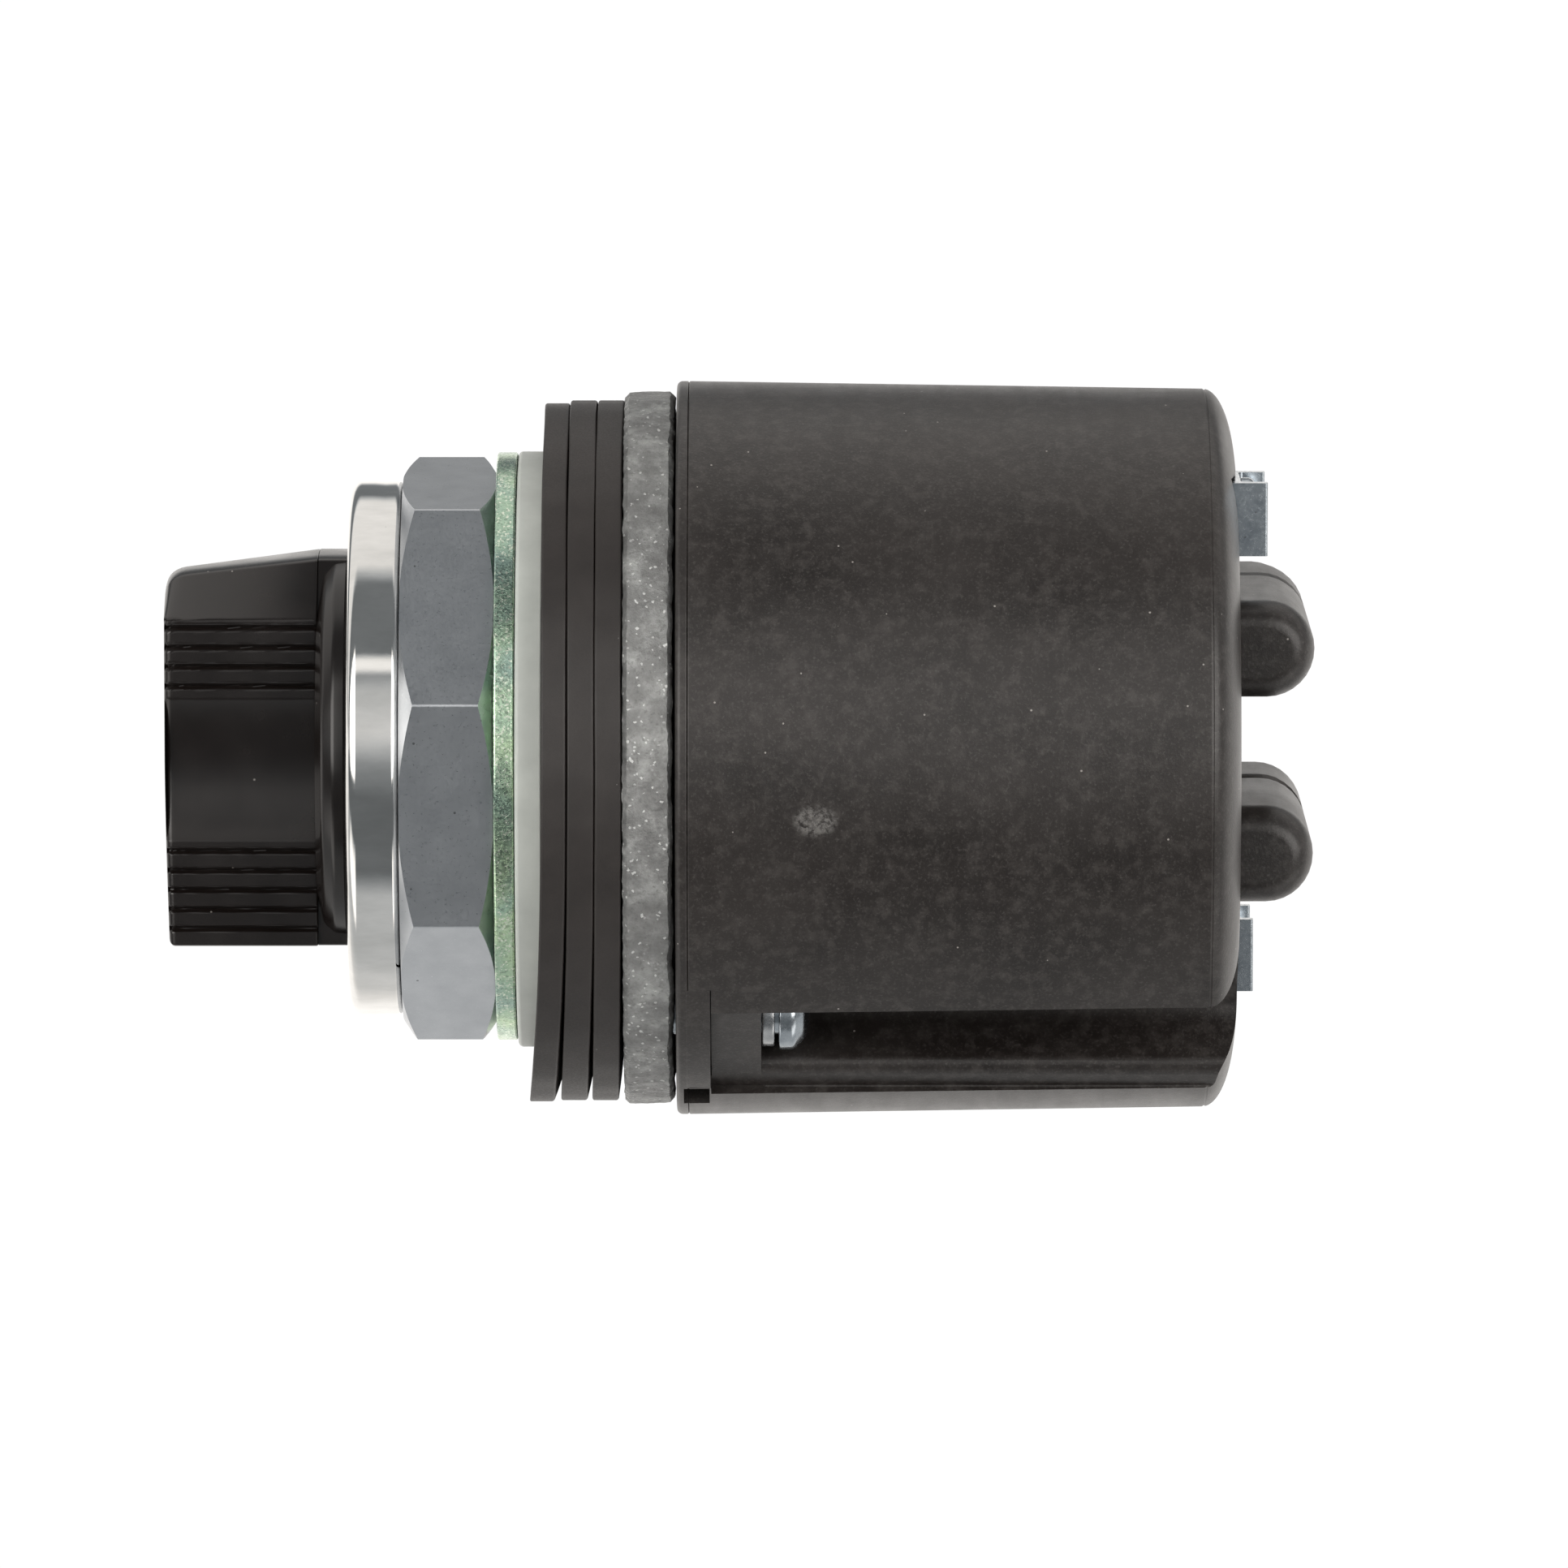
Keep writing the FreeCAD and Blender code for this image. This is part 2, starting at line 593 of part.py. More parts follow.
def rear_clip():
    """Flat steel clip between the ribs, with a small raised nub."""
    strip = block(HOUSING_X1 - 0.48, HOUSING_X1 + 0.32, -3.0, 3.0, DECK_Z + 0.35, DECK_Z + 2.2)
    foot = block(HOUSING_X1 - 0.48, HOUSING_X1 - 0.05, -3.0, 3.0, DECK_Z - 0.8, DECK_Z + 0.4)
    nub = rod(HOUSING_X1 - 0.1, HOUSING_X1 + 0.15, 0, DECK_Z - 0.4, 0.3)
    return strip.fuse(foot).fuse(nub).removeSplitter()


# ---- contact block: fasteners and electrical parts ----
def mounting_screws():
    """The two screws that hold the block to the casting."""
    screws = []
    for angle in SCREW_ANGLES:
        screw = slotted_screw(15.1, -SCREW_ORBIT, 0, 2.4, 1.9, 1.45, 8.8, 35)
        screws.append(spun(screw, angle))
    return Part.makeCompound(screws)


def lock_washers():
    """Split spring washers under the mounting screws."""
    washers = []
    for angle in SCREW_ANGLES:
        washer = rod(CHANNEL_X0 + 0.02, 14.85, -SCREW_ORBIT, 0, 2.2)
        washer = washer.cut(rod(CHANNEL_X0 - 1, 15.5, -SCREW_ORBIT, 0, 1.5))
        gap = block(CHANNEL_X0 - 1, 15.5, -SCREW_ORBIT - 3, -SCREW_ORBIT, -0.15, 0.15)
        washers.append(spun(washer.cut(gap), angle))
    return Part.makeCompound(washers)


def plunger(side):
    """Nylon push rod with a ball tip, a bridge collar and a spring seat."""
    y = side * PLUNGER_Y
    lift = CAM_GAP + 1.6 / math.cos(math.atan(CAM_SLOPE))
    tip_x = CAM_MEAN_X + lift
    body = Part.makeSphere(1.6, V(tip_x, y, 0))
    body = body.fuse(rod(tip_x, 31.2, y, 0, 1.6))
    body = body.fuse(rod(BRIDGE_X0 - 1.4, BRIDGE_X0 - 0.02, y, 0, 2.5))
    body = body.fuse(rod(31.0, 32.2, y, 0, 2.7))
    body = body.fuse(rod(32.0, 34.6, y, 0, 1.35))
    return body.removeSplitter()


def contact_bridge(side):
    """Springy bar that joins the two fixed contacts of one circuit."""
    y = side * PLUNGER_Y
    bar = block(BRIDGE_X0, BRIDGE_X0 + BRIDGE_THICK, y - 2.1, y + 2.1, DECK_Z - 10.4, DECK_Z + 10.4)
    bar = bar.makeFillet(0.6, edges_along_x(bar))
    return bar.cut(rod(BRIDGE_X0 - 1, BRIDGE_X0 + 2, y, 0, 1.63))


def tips(x, y, heights):
    """Round silver contact rivets, flat side forward and aft."""
    discs = [rod(x, x + TIP_THICK, y, z, TIP_R) for z in heights]
    return Part.makeCompound(discs) if len(discs) > 1 else discs[0]


def bridge_tips(side):
    """The two moving contact tips of one bridge."""
    heights = [DECK_Z - FOOT_Z, DECK_Z + FOOT_Z]
    return tips(BRIDGE_X0 + BRIDGE_THICK, side * PLUNGER_Y, heights)


def contact_spring(side):
    """Coil that presses a bridge against its collar."""
    return coil(BRIDGE_X0 + BRIDGE_THICK + 0.05, 30.9, side * PLUNGER_Y, 0, 1.95, 0.25, 5)


def return_spring(side):
    """Coil between a plunger's seat and the rear wall."""
    return coil(32.25, PLATE_X0 - 0.05, side * PLUNGER_Y, 0, 1.95, 0.25, 5)


FIXED_TIP_X = BRIDGE_X0 + BRIDGE_THICK + TIP_THICK + PLUNGER_TRAVEL + 0.06


def fixed_contact(name):
    """Brass strip from a terminal plate forward to the fixed contact tip."""
    y, z = terminal_centre(name)
    bridge_y = math.copysign(PLUNGER_Y, y)
    side = 1 if name.endswith("top") else -1
    foot_x = FIXED_TIP_X + TIP_THICK

    def span(a, b):
        ends = (DECK_Z + side * a, DECK_Z + side * b)
        return min(ends), max(ends)

    foot_low, foot_high = span(7.2, 12.0)
    leg_low, leg_high = span(11.0, 12.0)
    plate_low, plate_high = span(11.0, TERMINAL_Z + CLAMP_HEIGHT / 2 + 0.2)
    y0 = min(bridge_y, y) - 1.8
    y1 = max(bridge_y, y) + 1.8
    foot = block(foot_x, foot_x + 1.0, y0, y1, foot_low, foot_high)
    leg = block(foot_x, PLATE_X0 + 0.5, y - 1.8, y + 1.8, leg_low, leg_high)
    plate = block(PLATE_X0 + 0.02, PLATE_X0 + PLATE_THICK, y - 3.6, y + 3.6, plate_low, plate_high)
    strip = foot.fuse(leg).fuse(plate)
    return strip.cut(rod(PLATE_X0 - 1, FAR, y, z, 1.76)).removeSplitter()


def fixed_tip(name):
    """Silver tip on a fixed contact, facing the bridge."""
    y, _ = terminal_centre(name)
    side = 1 if name.endswith("top") else -1
    return tips(FIXED_TIP_X, math.copysign(PLUNGER_Y, y), [DECK_Z + side * FOOT_Z])


def terminal_screw(name):
    """Terminal screw at its rest position, tight or backed off."""
    y, z = terminal_centre(name)
    seat = PLATE_X0 + PLATE_THICK + 0.05 + CLAMP_THICK + TERMINAL_BACKED_OFF[name]
    return slotted_screw(seat, y, z, 2.3, 1.5, 1.7, 6.5, 20 + 35 * len(name))


def saddle_clamp(name):
    """Wire clamp: a plate with two turned-back walls and a toothed underside."""
    y, z = terminal_centre(name)
    x0 = PLATE_X0 + PLATE_THICK + 0.05 + TERMINAL_BACKED_OFF[name]
    half_w = CLAMP_WIDTH / 2
    half_h = CLAMP_HEIGHT / 2
    plate = block(x0, x0 + CLAMP_THICK, y - half_w, y + half_w, z - half_h, z + half_h)
    for side in (-1, 1):
        y0, y1 = sorted((y + side * (half_w - 0.9), y + side * half_w))
        plate = plate.fuse(block(x0, x0 + CLAMP_THICK + 1.7, y0, y1, z - half_h, z + half_h))
    for k in range(5):
        tooth_z = z - half_h + 0.6 + k * 0.9
        groove = Part.makeBox(0.4, FAR, 0.4, V(0, y - FAR / 2, 0))
        groove.rotate(V(0, 0, 0), V(0, 1, 0), 45)
        groove.translate(V(x0 - 0.28, 0, tooth_z))
        plate = plate.cut(groove)
    return plate.cut(rod(x0 - 1, x0 + 3, y, z, 1.78)).removeSplitter()


# ---- all sub-parts, each saved as its own file ----
def sub_parts():
    """Every node of the assembly by name."""
    found = {
        "bushing_casting": bushing_casting(),
        "octagonal_nut": octagonal_nut(),
        "bezel_ring": bezel_ring(),
        "ground_washer": ground_washer(),
        "trim_washer": trim_washer(),
        "knob": knob(),
        "pointer_insert": pointer_insert_at(0.0),
        "knob_set_screw": Part.makeCylinder(1.25, 7.4, V(-18.4, 0, -2.7), V(0, 0, -1)),
        "shaft": shaft(),
        "shaft_oring": shaft_oring(),
        "detent_disc": detent_disc(),
        "detent_balls": detent_balls(),
        "detent_springs": detent_springs(),
        "retaining_ring": retaining_ring(),
        "cam": cam(),
        "base_plate": base_plate(),
        "housing": housing(),
        "plunger_guide": plunger_guide(),
        "rear_clip": rear_clip(),
        "mounting_screws": mounting_screws(),
        "lock_washers": lock_washers(),
    }
    for number in range(3):
        found[f"gasket_{number + 1}"] = gasket(number)
    for word, side in (("near", -1), ("far", 1)):
        found[f"plunger_{word}"] = plunger(side)
        found[f"contact_bridge_{word}"] = contact_bridge(side)
        found[f"bridge_tips_{word}"] = bridge_tips(side)
        found[f"contact_spring_{word}"] = contact_spring(side)
        found[f"return_spring_{word}"] = return_spring(side)
    for name in TERMINAL_Y:
        found[f"fixed_contact_{name}"] = fixed_contact(name)
        found[f"fixed_tip_{name}"] = fixed_tip(name)
        found[f"terminal_screw_{name}"] = terminal_screw(name)
        found[f"saddle_clamp_{name}"] = saddle_clamp(name)
    return found


os.makedirs("parts", exist_ok=True)
for node, shape in sub_parts().items():
    if not shape.isValid():
        raise ValueError(f"{node} is not a valid solid")
    shape.exportStep(f"parts/{node}.step")
    print(node, len(shape.Solids), round(shape.Volume, 2))
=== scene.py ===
import bmesh
import bpy
import json
import math
from mathutils import Matrix, Vector, noise


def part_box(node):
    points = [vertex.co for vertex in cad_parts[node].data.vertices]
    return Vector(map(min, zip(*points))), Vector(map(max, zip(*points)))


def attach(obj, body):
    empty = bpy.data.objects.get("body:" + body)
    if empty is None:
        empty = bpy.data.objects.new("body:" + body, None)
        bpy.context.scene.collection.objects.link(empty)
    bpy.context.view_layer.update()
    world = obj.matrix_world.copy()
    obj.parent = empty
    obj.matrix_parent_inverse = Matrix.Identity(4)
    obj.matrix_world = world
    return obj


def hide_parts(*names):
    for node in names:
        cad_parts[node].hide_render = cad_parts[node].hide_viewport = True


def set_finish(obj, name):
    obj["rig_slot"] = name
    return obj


# Looks of the rotary selector switch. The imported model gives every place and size; the pieces made
# here replace the plain CAD shapes that show, and every other node gets its own material.
# Sizes in this script are millimetres, turned to metres when a mesh is made.

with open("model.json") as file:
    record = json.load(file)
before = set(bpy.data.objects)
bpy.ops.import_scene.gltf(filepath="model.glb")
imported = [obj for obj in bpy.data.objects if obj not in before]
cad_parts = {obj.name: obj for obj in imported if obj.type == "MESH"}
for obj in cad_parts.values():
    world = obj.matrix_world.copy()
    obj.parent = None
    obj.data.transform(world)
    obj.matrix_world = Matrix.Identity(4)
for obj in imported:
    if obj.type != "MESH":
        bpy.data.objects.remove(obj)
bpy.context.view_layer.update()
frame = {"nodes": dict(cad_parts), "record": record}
NODES = frame["nodes"]
MM = 0.001
TAU = 2 * math.pi
# Points closer than this after a boolean are welded, so that no sliver faces are left.
WELD = 0.002


def span(node):
    """A node's x0, x1 and outer radius about the switch axis, in millimetres."""
    low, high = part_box(node)
    return low[0] / MM, high[0] / MM, (high[1] - low[1]) / 2 / MM


# ---- mesh helpers ----
def finish_mesh(name, mesh, body, slot, nodes, sharp=38.0):
    """Turns a mesh in millimetres into a piece that rides on a body and replaces CAD nodes."""
    mesh.transform(Matrix.Scale(MM, 4))
    mesh.shade_smooth()
    mesh.set_sharp_from_angle(angle=math.radians(sharp))
    piece = bpy.data.objects.new(name, mesh)
    bpy.context.scene.collection.objects.link(piece)
    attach(piece, body)
    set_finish(piece, slot)
    if nodes:
        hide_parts(*nodes)
    return piece


def mesh_from(name, verts, faces):
    """A mesh from plain lists, with its normals turned outward."""
    mesh = bpy.data.meshes.new(name)
    mesh.from_pydata([tuple(v) for v in verts], [], faces)
    work = bmesh.new()
    work.from_mesh(mesh)
    bmesh.ops.remove_doubles(work, verts=work.verts, dist=1e-5)
    bmesh.ops.recalc_face_normals(work, faces=work.faces)
    work.to_mesh(mesh)
    work.free()
    return mesh


def rounded(points, radii, steps=5):
    """A closed outline with its corners rounded by the radii given for some of its points."""
    count = len(points)
    out = []
    for k, point in enumerate(points):
        p = Vector(point)
        before = Vector(points[k - 1])
        after = Vector(points[(k + 1) % count])
        radius = radii.get(k, 0.0)
        if radius <= 0:
            out.append((p.x, p.y))
            continue
        to_a = (before - p).normalized()
        to_b = (after - p).normalized()
        half = max(to_a.angle(to_b) / 2, 1e-3)
        reach = min(radius / math.tan(half), (before - p).length * 0.49, (after - p).length * 0.49)
        middle = p + (to_a + to_b).normalized() * (reach / math.cos(half))
        a = p + to_a * reach - middle
        b = p + to_b * reach - middle
        sweep = max(math.pi - 2 * half, 1e-3)
        for step in range(steps + 1):
            t = step / steps
            q = middle + (a * math.sin((1 - t) * sweep) + b * math.sin(t * sweep)) / math.sin(sweep)
            out.append((q.x, q.y))
    return out


def divided(outline, longest):
    """The closed outline with its long runs divided, so that a noise can shape them."""
    out = []
    for k, point in enumerate(outline):
        a = Vector(point)
        b = Vector(outline[(k + 1) % len(outline)])
        parts = max(1, math.ceil((b - a).length / longest))
        for part in range(parts):
            q = a.lerp(b, part / parts)
            out.append((q.x, q.y))
    return out


def lathe_mesh(name, outline, segments, shape=None):
    """Turns a closed (x, radius) outline about the switch axis; shape may move each point."""
    verts = []
    faces = []
    rows = len(outline)
    for s in range(segments):
        angle = TAU * s / segments
        for x, r in outline:
            p = Vector((x, -r * math.cos(angle), -r * math.sin(angle)))
            verts.append(shape(p, angle, r) if shape else p)
    sides = [k for k in range(rows) if outline[k][1] > 0 or outline[(k + 1) % rows][1] > 0]
    for s in range(segments):
        ahead = (s + 1) % segments
        for k in sides:
            after = (k + 1) % rows
            quad = (s * rows + k, s * rows + after, ahead * rows + after, ahead * rows + k)
            faces.append(quad)
    return mesh_from(name, verts, faces)


def wall_faces(row_count, count):
    """The quads between neighbouring rows of a loft whose rows have count points each."""
    faces = []
    for row in range(row_count - 1):
        base = row * count
        for k in range(count):
            after = (k + 1) % count
            faces.append((base + k, base + after, base + count + after, base + count + k))
    return faces


def loft_mesh(name, rows):
    """A solid through closed rows of points, with a flat cap at each end."""
    count = len(rows[0])
    last = (len(rows) - 1) * count
    faces = wall_faces(len(rows), count)
    faces.append(tuple(range(count)))
    faces.append(tuple(last + k for k in reversed(range(count))))
    return mesh_from(name, [point for row in rows for point in row], faces)


def prism_mesh(name, outline, stations, frame_of):
    """Extrudes a closed outline between stations; frame_of gives each point its place."""
    return loft_mesh(name, [[frame_of(station, u, v) for u, v in outline] for station in stations])


def along_axis(x, u, v):
    """Places an outline's point across the switch axis at a station x."""
    return Vector((x, u, v))


def box_mesh(name, low, high):
    """A plain block between two corners."""
    outline = [(low[1], low[2]), (high[1], low[2]), (high[1], high[2]), (low[1], high[2])]
    return prism_mesh(name, outline, [low[0], high[0]], along_axis)


def circle(y, z, r, steps=48):
    """A round outline in the plane across the switch axis."""
    turn = [TAU * k / steps for k in range(steps)]
    return [(y + r * math.cos(a), z + r * math.sin(a)) for a in turn]


def rod_mesh(name, x0, x1, y, z, r, steps=48):
    """A round rod along the switch axis."""
    return prism_mesh(name, circle(y, z, r, steps), [x0, x1], along_axis)


def turned_about_axis(mesh, angle):
    """The same mesh carried round the switch axis by degrees."""
    mesh.transform(Matrix.Rotation(math.radians(angle), 4, "X"))
    return mesh


def combined(mesh, others, operation):
    """The mesh after exact boolean operations with the others, which are used up."""
    scene = bpy.context.scene
    target = bpy.data.objects.new("target", mesh)
    scene.collection.objects.link(target)
    tools = []
    for other in others:
        tool = bpy.data.objects.new("tool", other)
        scene.collection.objects.link(tool)
        tools.append(tool)
        step = target.modifiers.new("step", "BOOLEAN")
        step.operation = operation
        step.solver = "EXACT"
        step.object = tool
    bpy.context.view_layer.update()
    result = bpy.data.meshes.new_from_object(target.evaluated_get(bpy.context.evaluated_depsgraph_get()))
    for used in tools + [target]:
        bpy.data.objects.remove(used)
    result.materials.clear()
    work = bmesh.new()
    work.from_mesh(result)
    bmesh.ops.remove_doubles(work, verts=work.verts, dist=WELD)
    bmesh.ops.dissolve_degenerate(work, edges=work.edges, dist=WELD)
    work.to_mesh(result)
    work.free()
    return result


def soft_edges(piece, width, angle=40.0, segments=3):
    """Small real roundings on a piece's hard edges."""
    bevel = piece.modifiers.new("edges", "BEVEL")
    bevel.width = width * MM
    bevel.segments = segments
    bevel.limit_method = "ANGLE"
    bevel.angle_limit = math.radians(angle)
    bevel.miter_outer = "MITER_ARC"
    bevel.use_clamp_overlap = True
    bevel.harden_normals = False
    weigh = piece.modifiers.new("normals", "WEIGHTED_NORMAL")
    weigh.keep_sharp = True
    return piece


# ---- material helpers ----
def node(tree, kind, inputs=None, **settings):
    """Adds a shader node; an input may be a value or another node's socket."""
    made = tree.nodes.new("ShaderNode" + kind)
    for key, value in settings.items():
        setattr(made, key, value)
    for key, value in (inputs or {}).items():
        if isinstance(value, bpy.types.NodeSocket):
            tree.links.new(value, made.inputs[key])
        else:
            made.inputs[key].default_value = value
    return made


def start(name):
    """A new material: its tree, its main shader and coordinates in millimetres."""
    material = bpy.data.materials.new(name)
    material.use_nodes = True
    tree = material.node_tree
    shader = tree.nodes["Principled BSDF"]
    place = node(tree, "TexCoord").outputs["Object"]
    mm = node(tree, "VectorMath", {0: place, 1: (1000.0, 1000.0, 1000.0)}, operation="MULTIPLY")
    return material, tree, shader, mm.outputs[0]


def speckle(tree, mm, scale, detail=3.0, rough=0.55, stretch=None):
    """A noise field from 0 to 1 whose grains are about 1 / scale millimetres."""
    if stretch:
        mm = node(tree, "VectorMath", {0: mm, 1: stretch}, operation="MULTIPLY").outputs[0]
    made = node(tree, "TexNoise", {"Vector": mm, "Scale": scale, "Detail": detail, "Roughness": rough})
    return made.outputs["Fac"]


def ramp(tree, fac, stops):
    """A colour or grey ramp from (position, value) stops."""
    made = node(tree, "ValToRGB", {"Fac": fac})
    band = made.color_ramp
    while len(band.elements) < len(stops):
        band.elements.new(0.5)
    for element, (where, value) in zip(band.elements, stops):
        element.position = where
        colour = (value, value, value) if isinstance(value, (int, float)) else value
        element.color = (*colour, 1.0)
    return made.outputs["Color"]


def math_of(tree, operation, a, b=0.0, clamp=False):
    """One arithmetic step between two fields or numbers."""
    return node(tree, "Math", {0: a, 1: b}, operation=operation, use_clamp=clamp).outputs[0]


def mixed(tree, fac, a, b):
    """Two colours mixed by a field."""
    made = node(tree, "Mix", data_type="RGBA")
    for key, value in ((0, fac), (6, a), (7, b)):
        if isinstance(value, bpy.types.NodeSocket):
            tree.links.new(value, made.inputs[key])
        elif key == 0:
            made.inputs[key].default_value = value
        else:
            made.inputs[key].default_value = (*value, 1.0)
    return made.outputs[2]


def bumps(tree, shader, layers):
    """Stacks bump layers of (height field, strength, depth in millimetres) on a shader."""
    normal = None
    for height, strength, depth in layers:
        inputs = {"Height": height, "Strength": strength, "Distance": depth * MM}
        if normal is not None:
            inputs["Normal"] = normal
        normal = node(tree, "Bump", inputs).outputs["Normal"]
    tree.links.new(normal, shader.inputs["Normal"])


def dust(tree, mm, scale, size):
    """Sparse pale specks of dust, 1 in a speck and 0 elsewhere."""
    cells = node(tree, "TexVoronoi", {"Vector": mm, "Scale": scale})
    near = math_of(tree, "LESS_THAN", cells.outputs["Distance"], size)
    chosen = node(tree, "SeparateColor", {"Color": cells.outputs["Color"]}).outputs[0]
    return math_of(tree, "MULTIPLY", near, math_of(tree, "GREATER_THAN", chosen, 0.72))


def near_point(tree, mm, point, radius, squash=(1.0, 1.0, 1.0)):
    """A field that is 1 at a place on the part and falls to 0 at a radius."""
    shifted = node(tree, "VectorMath", {0: mm, 1: point}, operation="SUBTRACT").outputs[0]
    scaled = node(tree, "VectorMath", {0: shifted, 1: squash}, operation="MULTIPLY").outputs[0]
    distance = node(tree, "VectorMath", {0: scaled}, operation="LENGTH").outputs["Value"]
    return math_of(tree, "SUBTRACT", 1.0, math_of(tree, "DIVIDE", distance, radius), clamp=True)


def moulded_block():
    """Black moulding of the contact block: satin grain, faint blotches, dust and one rough scar."""
    material, tree, shader, mm = start("black_moulding")
    blotch = speckle(tree, mm, 0.16, 4.0, 0.6, (0.55, 1.0, 1.0))
    streak = speckle(tree, mm, 0.5, 3.0, 0.55, (1.6, 0.25, 0.25))
    grain = speckle(tree, mm, 5.5, 3.0, 0.65)
    fine = speckle(tree, mm, 14.0, 2.0, 0.6)
    base = ramp(tree, blotch, [(0.32, (0.0078, 0.0058, 0.0050)), (0.68, (0.0168, 0.0136, 0.0122))])
    mottle = speckle(tree, mm, 1.1, 5.0, 0.7)
    worn = mixed(tree, ramp(tree, mottle, [(0.48, 0.0), (0.66, 0.8)]), base, (0.034, 0.0298, 0.0275))
    pale = mixed(tree, ramp(tree, grain, [(0.54, 0.0), (0.74, 0.7)]), worn, (0.056, 0.051, 0.048))
    scar_site = near_point(tree, mm, (17.4, -23.6, -1.9), 1.15, (0.72, 1.0, 1.0))
    scar = math_of(tree, "MULTIPLY", math_of(tree, "MULTIPLY", scar_site, 2.6, clamp=True),
                   ramp(tree, speckle(tree, mm, 2.6, 4.0, 0.7), [(0.42, 0.0), (0.6, 1.0)]))
    scarred = mixed(tree, scar, pale, (0.105, 0.100, 0.094))
    dusty = mixed(tree, dust(tree, mm, 0.9, 0.06), scarred, (0.24, 0.225, 0.21))
    tree.links.new(dusty, shader.inputs["Base Color"])
    rough = math_of(tree, "ADD", math_of(tree, "MULTIPLY", streak, 0.16),
                    math_of(tree, "MULTIPLY", blotch, 0.16))
    tree.links.new(math_of(tree, "ADD", rough, 0.22), shader.inputs["Roughness"])
    shader.inputs["Specular IOR Level"].default_value = 0.5
    bumps(tree, shader, [(mottle, 0.35, 0.03), (grain, 0.75, 0.02), (fine, 0.55, 0.008), (scar, 0.7, 0.05)])
    return material


def moulded_knob():
    """Smooth black knob moulding with faint mould flow and rubbed patches."""
    material, tree, shader, mm = start("knob_moulding")
    cloud = speckle(tree, mm, 0.25, 3.0, 0.5)
    fine = speckle(tree, mm, 9.0, 2.0, 0.5)
    base = ramp(tree, cloud, [(0.3, (0.0052, 0.0036, 0.0031)), (0.75, (0.0096, 0.0072, 0.0064))])
    dusty = mixed(tree, dust(tree, mm, 0.7, 0.05), base, (0.16, 0.15, 0.14))
    tree.links.new(dusty, shader.inputs["Base Color"])
    tree.links.new(ramp(tree, cloud, [(0.3, 0.20), (0.7, 0.28)]), shader.inputs["Roughness"])
    bumps(tree, shader, [(fine, 0.3, 0.004), (cloud, 0.25, 0.05)])
    return material


def rubber():
    """Dull black gasket rubber with fine grit and dust."""
    material, tree, shader, mm = start("rubber")
    cloud = speckle(tree, mm, 0.4, 4.0, 0.6)
    grit = speckle(tree, mm, 8.0, 3.0, 0.7)
    base = ramp(tree, cloud, [(0.3, (0.0110, 0.0084, 0.0074)), (0.75, (0.0190, 0.0152, 0.0138))])
    dusty = mixed(tree, dust(tree, mm, 0.8, 0.05), base, (0.13, 0.125, 0.12))
    tree.links.new(dusty, shader.inputs["Base Color"])
    tree.links.new(ramp(tree, grit, [(0.3, 0.42), (0.7, 0.60)]), shader.inputs["Roughness"])
    shader.inputs["Specular IOR Level"].default_value = 0.5
    bumps(tree, shader, [(grit, 0.5, 0.012), (cloud, 0.3, 0.05)])
    return material


def zinc_casting():
    """Grey die casting: granular skin with light and dark patches and bright crystal glints."""
    material, tree, shader, mm = start("zinc_casting")
    cloud = speckle(tree, mm, 0.55, 5.0, 0.65)
    grain = speckle(tree, mm, 3.2, 4.0, 0.7)
    crust = speckle(tree, mm, 1.5, 6.0, 0.75)
    cells = node(tree, "TexVoronoi", {"Vector": mm, "Scale": 7.0})
    glint = node(tree, "SeparateColor", {"Color": cells.outputs["Color"]}).outputs[0]
    base = ramp(tree, cloud, [
        (0.30, (0.13, 0.13, 0.129)), (0.5, (0.20, 0.203, 0.20)), (0.70, (0.33, 0.338, 0.33)),
    ])
    pitted = mixed(tree, ramp(tree, grain, [(0.32, 0.7), (0.47, 0.0)]), base, (0.13, 0.13, 0.128))
    bright = mixed(tree, ramp(tree, glint, [(0.965, 0.0), (0.985, 0.5)]), pitted, (0.82, 0.83, 0.82))
    tree.links.new(bright, shader.inputs["Base Color"])
    shader.inputs["Metallic"].default_value = 0.55
    tree.links.new(ramp(tree, grain, [(0.3, 0.52), (0.7, 0.34)]), shader.inputs["Roughness"])
    bumps(tree, shader, [(cloud, 0.7, 0.16), (crust, 0.9, 0.14), (grain, 0.8, 0.06), (glint, 0.3, 0.012)])
    return material


def chrome():
    """Bright plate with faint handling marks."""
    material, tree, shader, mm = start("polished_chrome")
    smear = speckle(tree, mm, 0.5, 4.0, 0.6, (0.4, 1.0, 1.0))
    fine = speckle(tree, mm, 7.0, 2.0, 0.5)
    base = ramp(tree, smear, [(0.3, (0.66, 0.66, 0.645)), (0.7, (0.80, 0.795, 0.78))])
    spots = mixed(tree, dust(tree, mm, 0.9, 0.04), base, (0.35, 0.35, 0.34))
    tree.links.new(spots, shader.inputs["Base Color"])
    shader.inputs["Metallic"].default_value = 1.0
    tree.links.new(ramp(tree, smear, [(0.35, 0.05), (0.75, 0.12)]), shader.inputs["Roughness"])
    bumps(tree, shader, [(fine, 0.12, 0.002), (smear, 0.12, 0.02)])
    return material


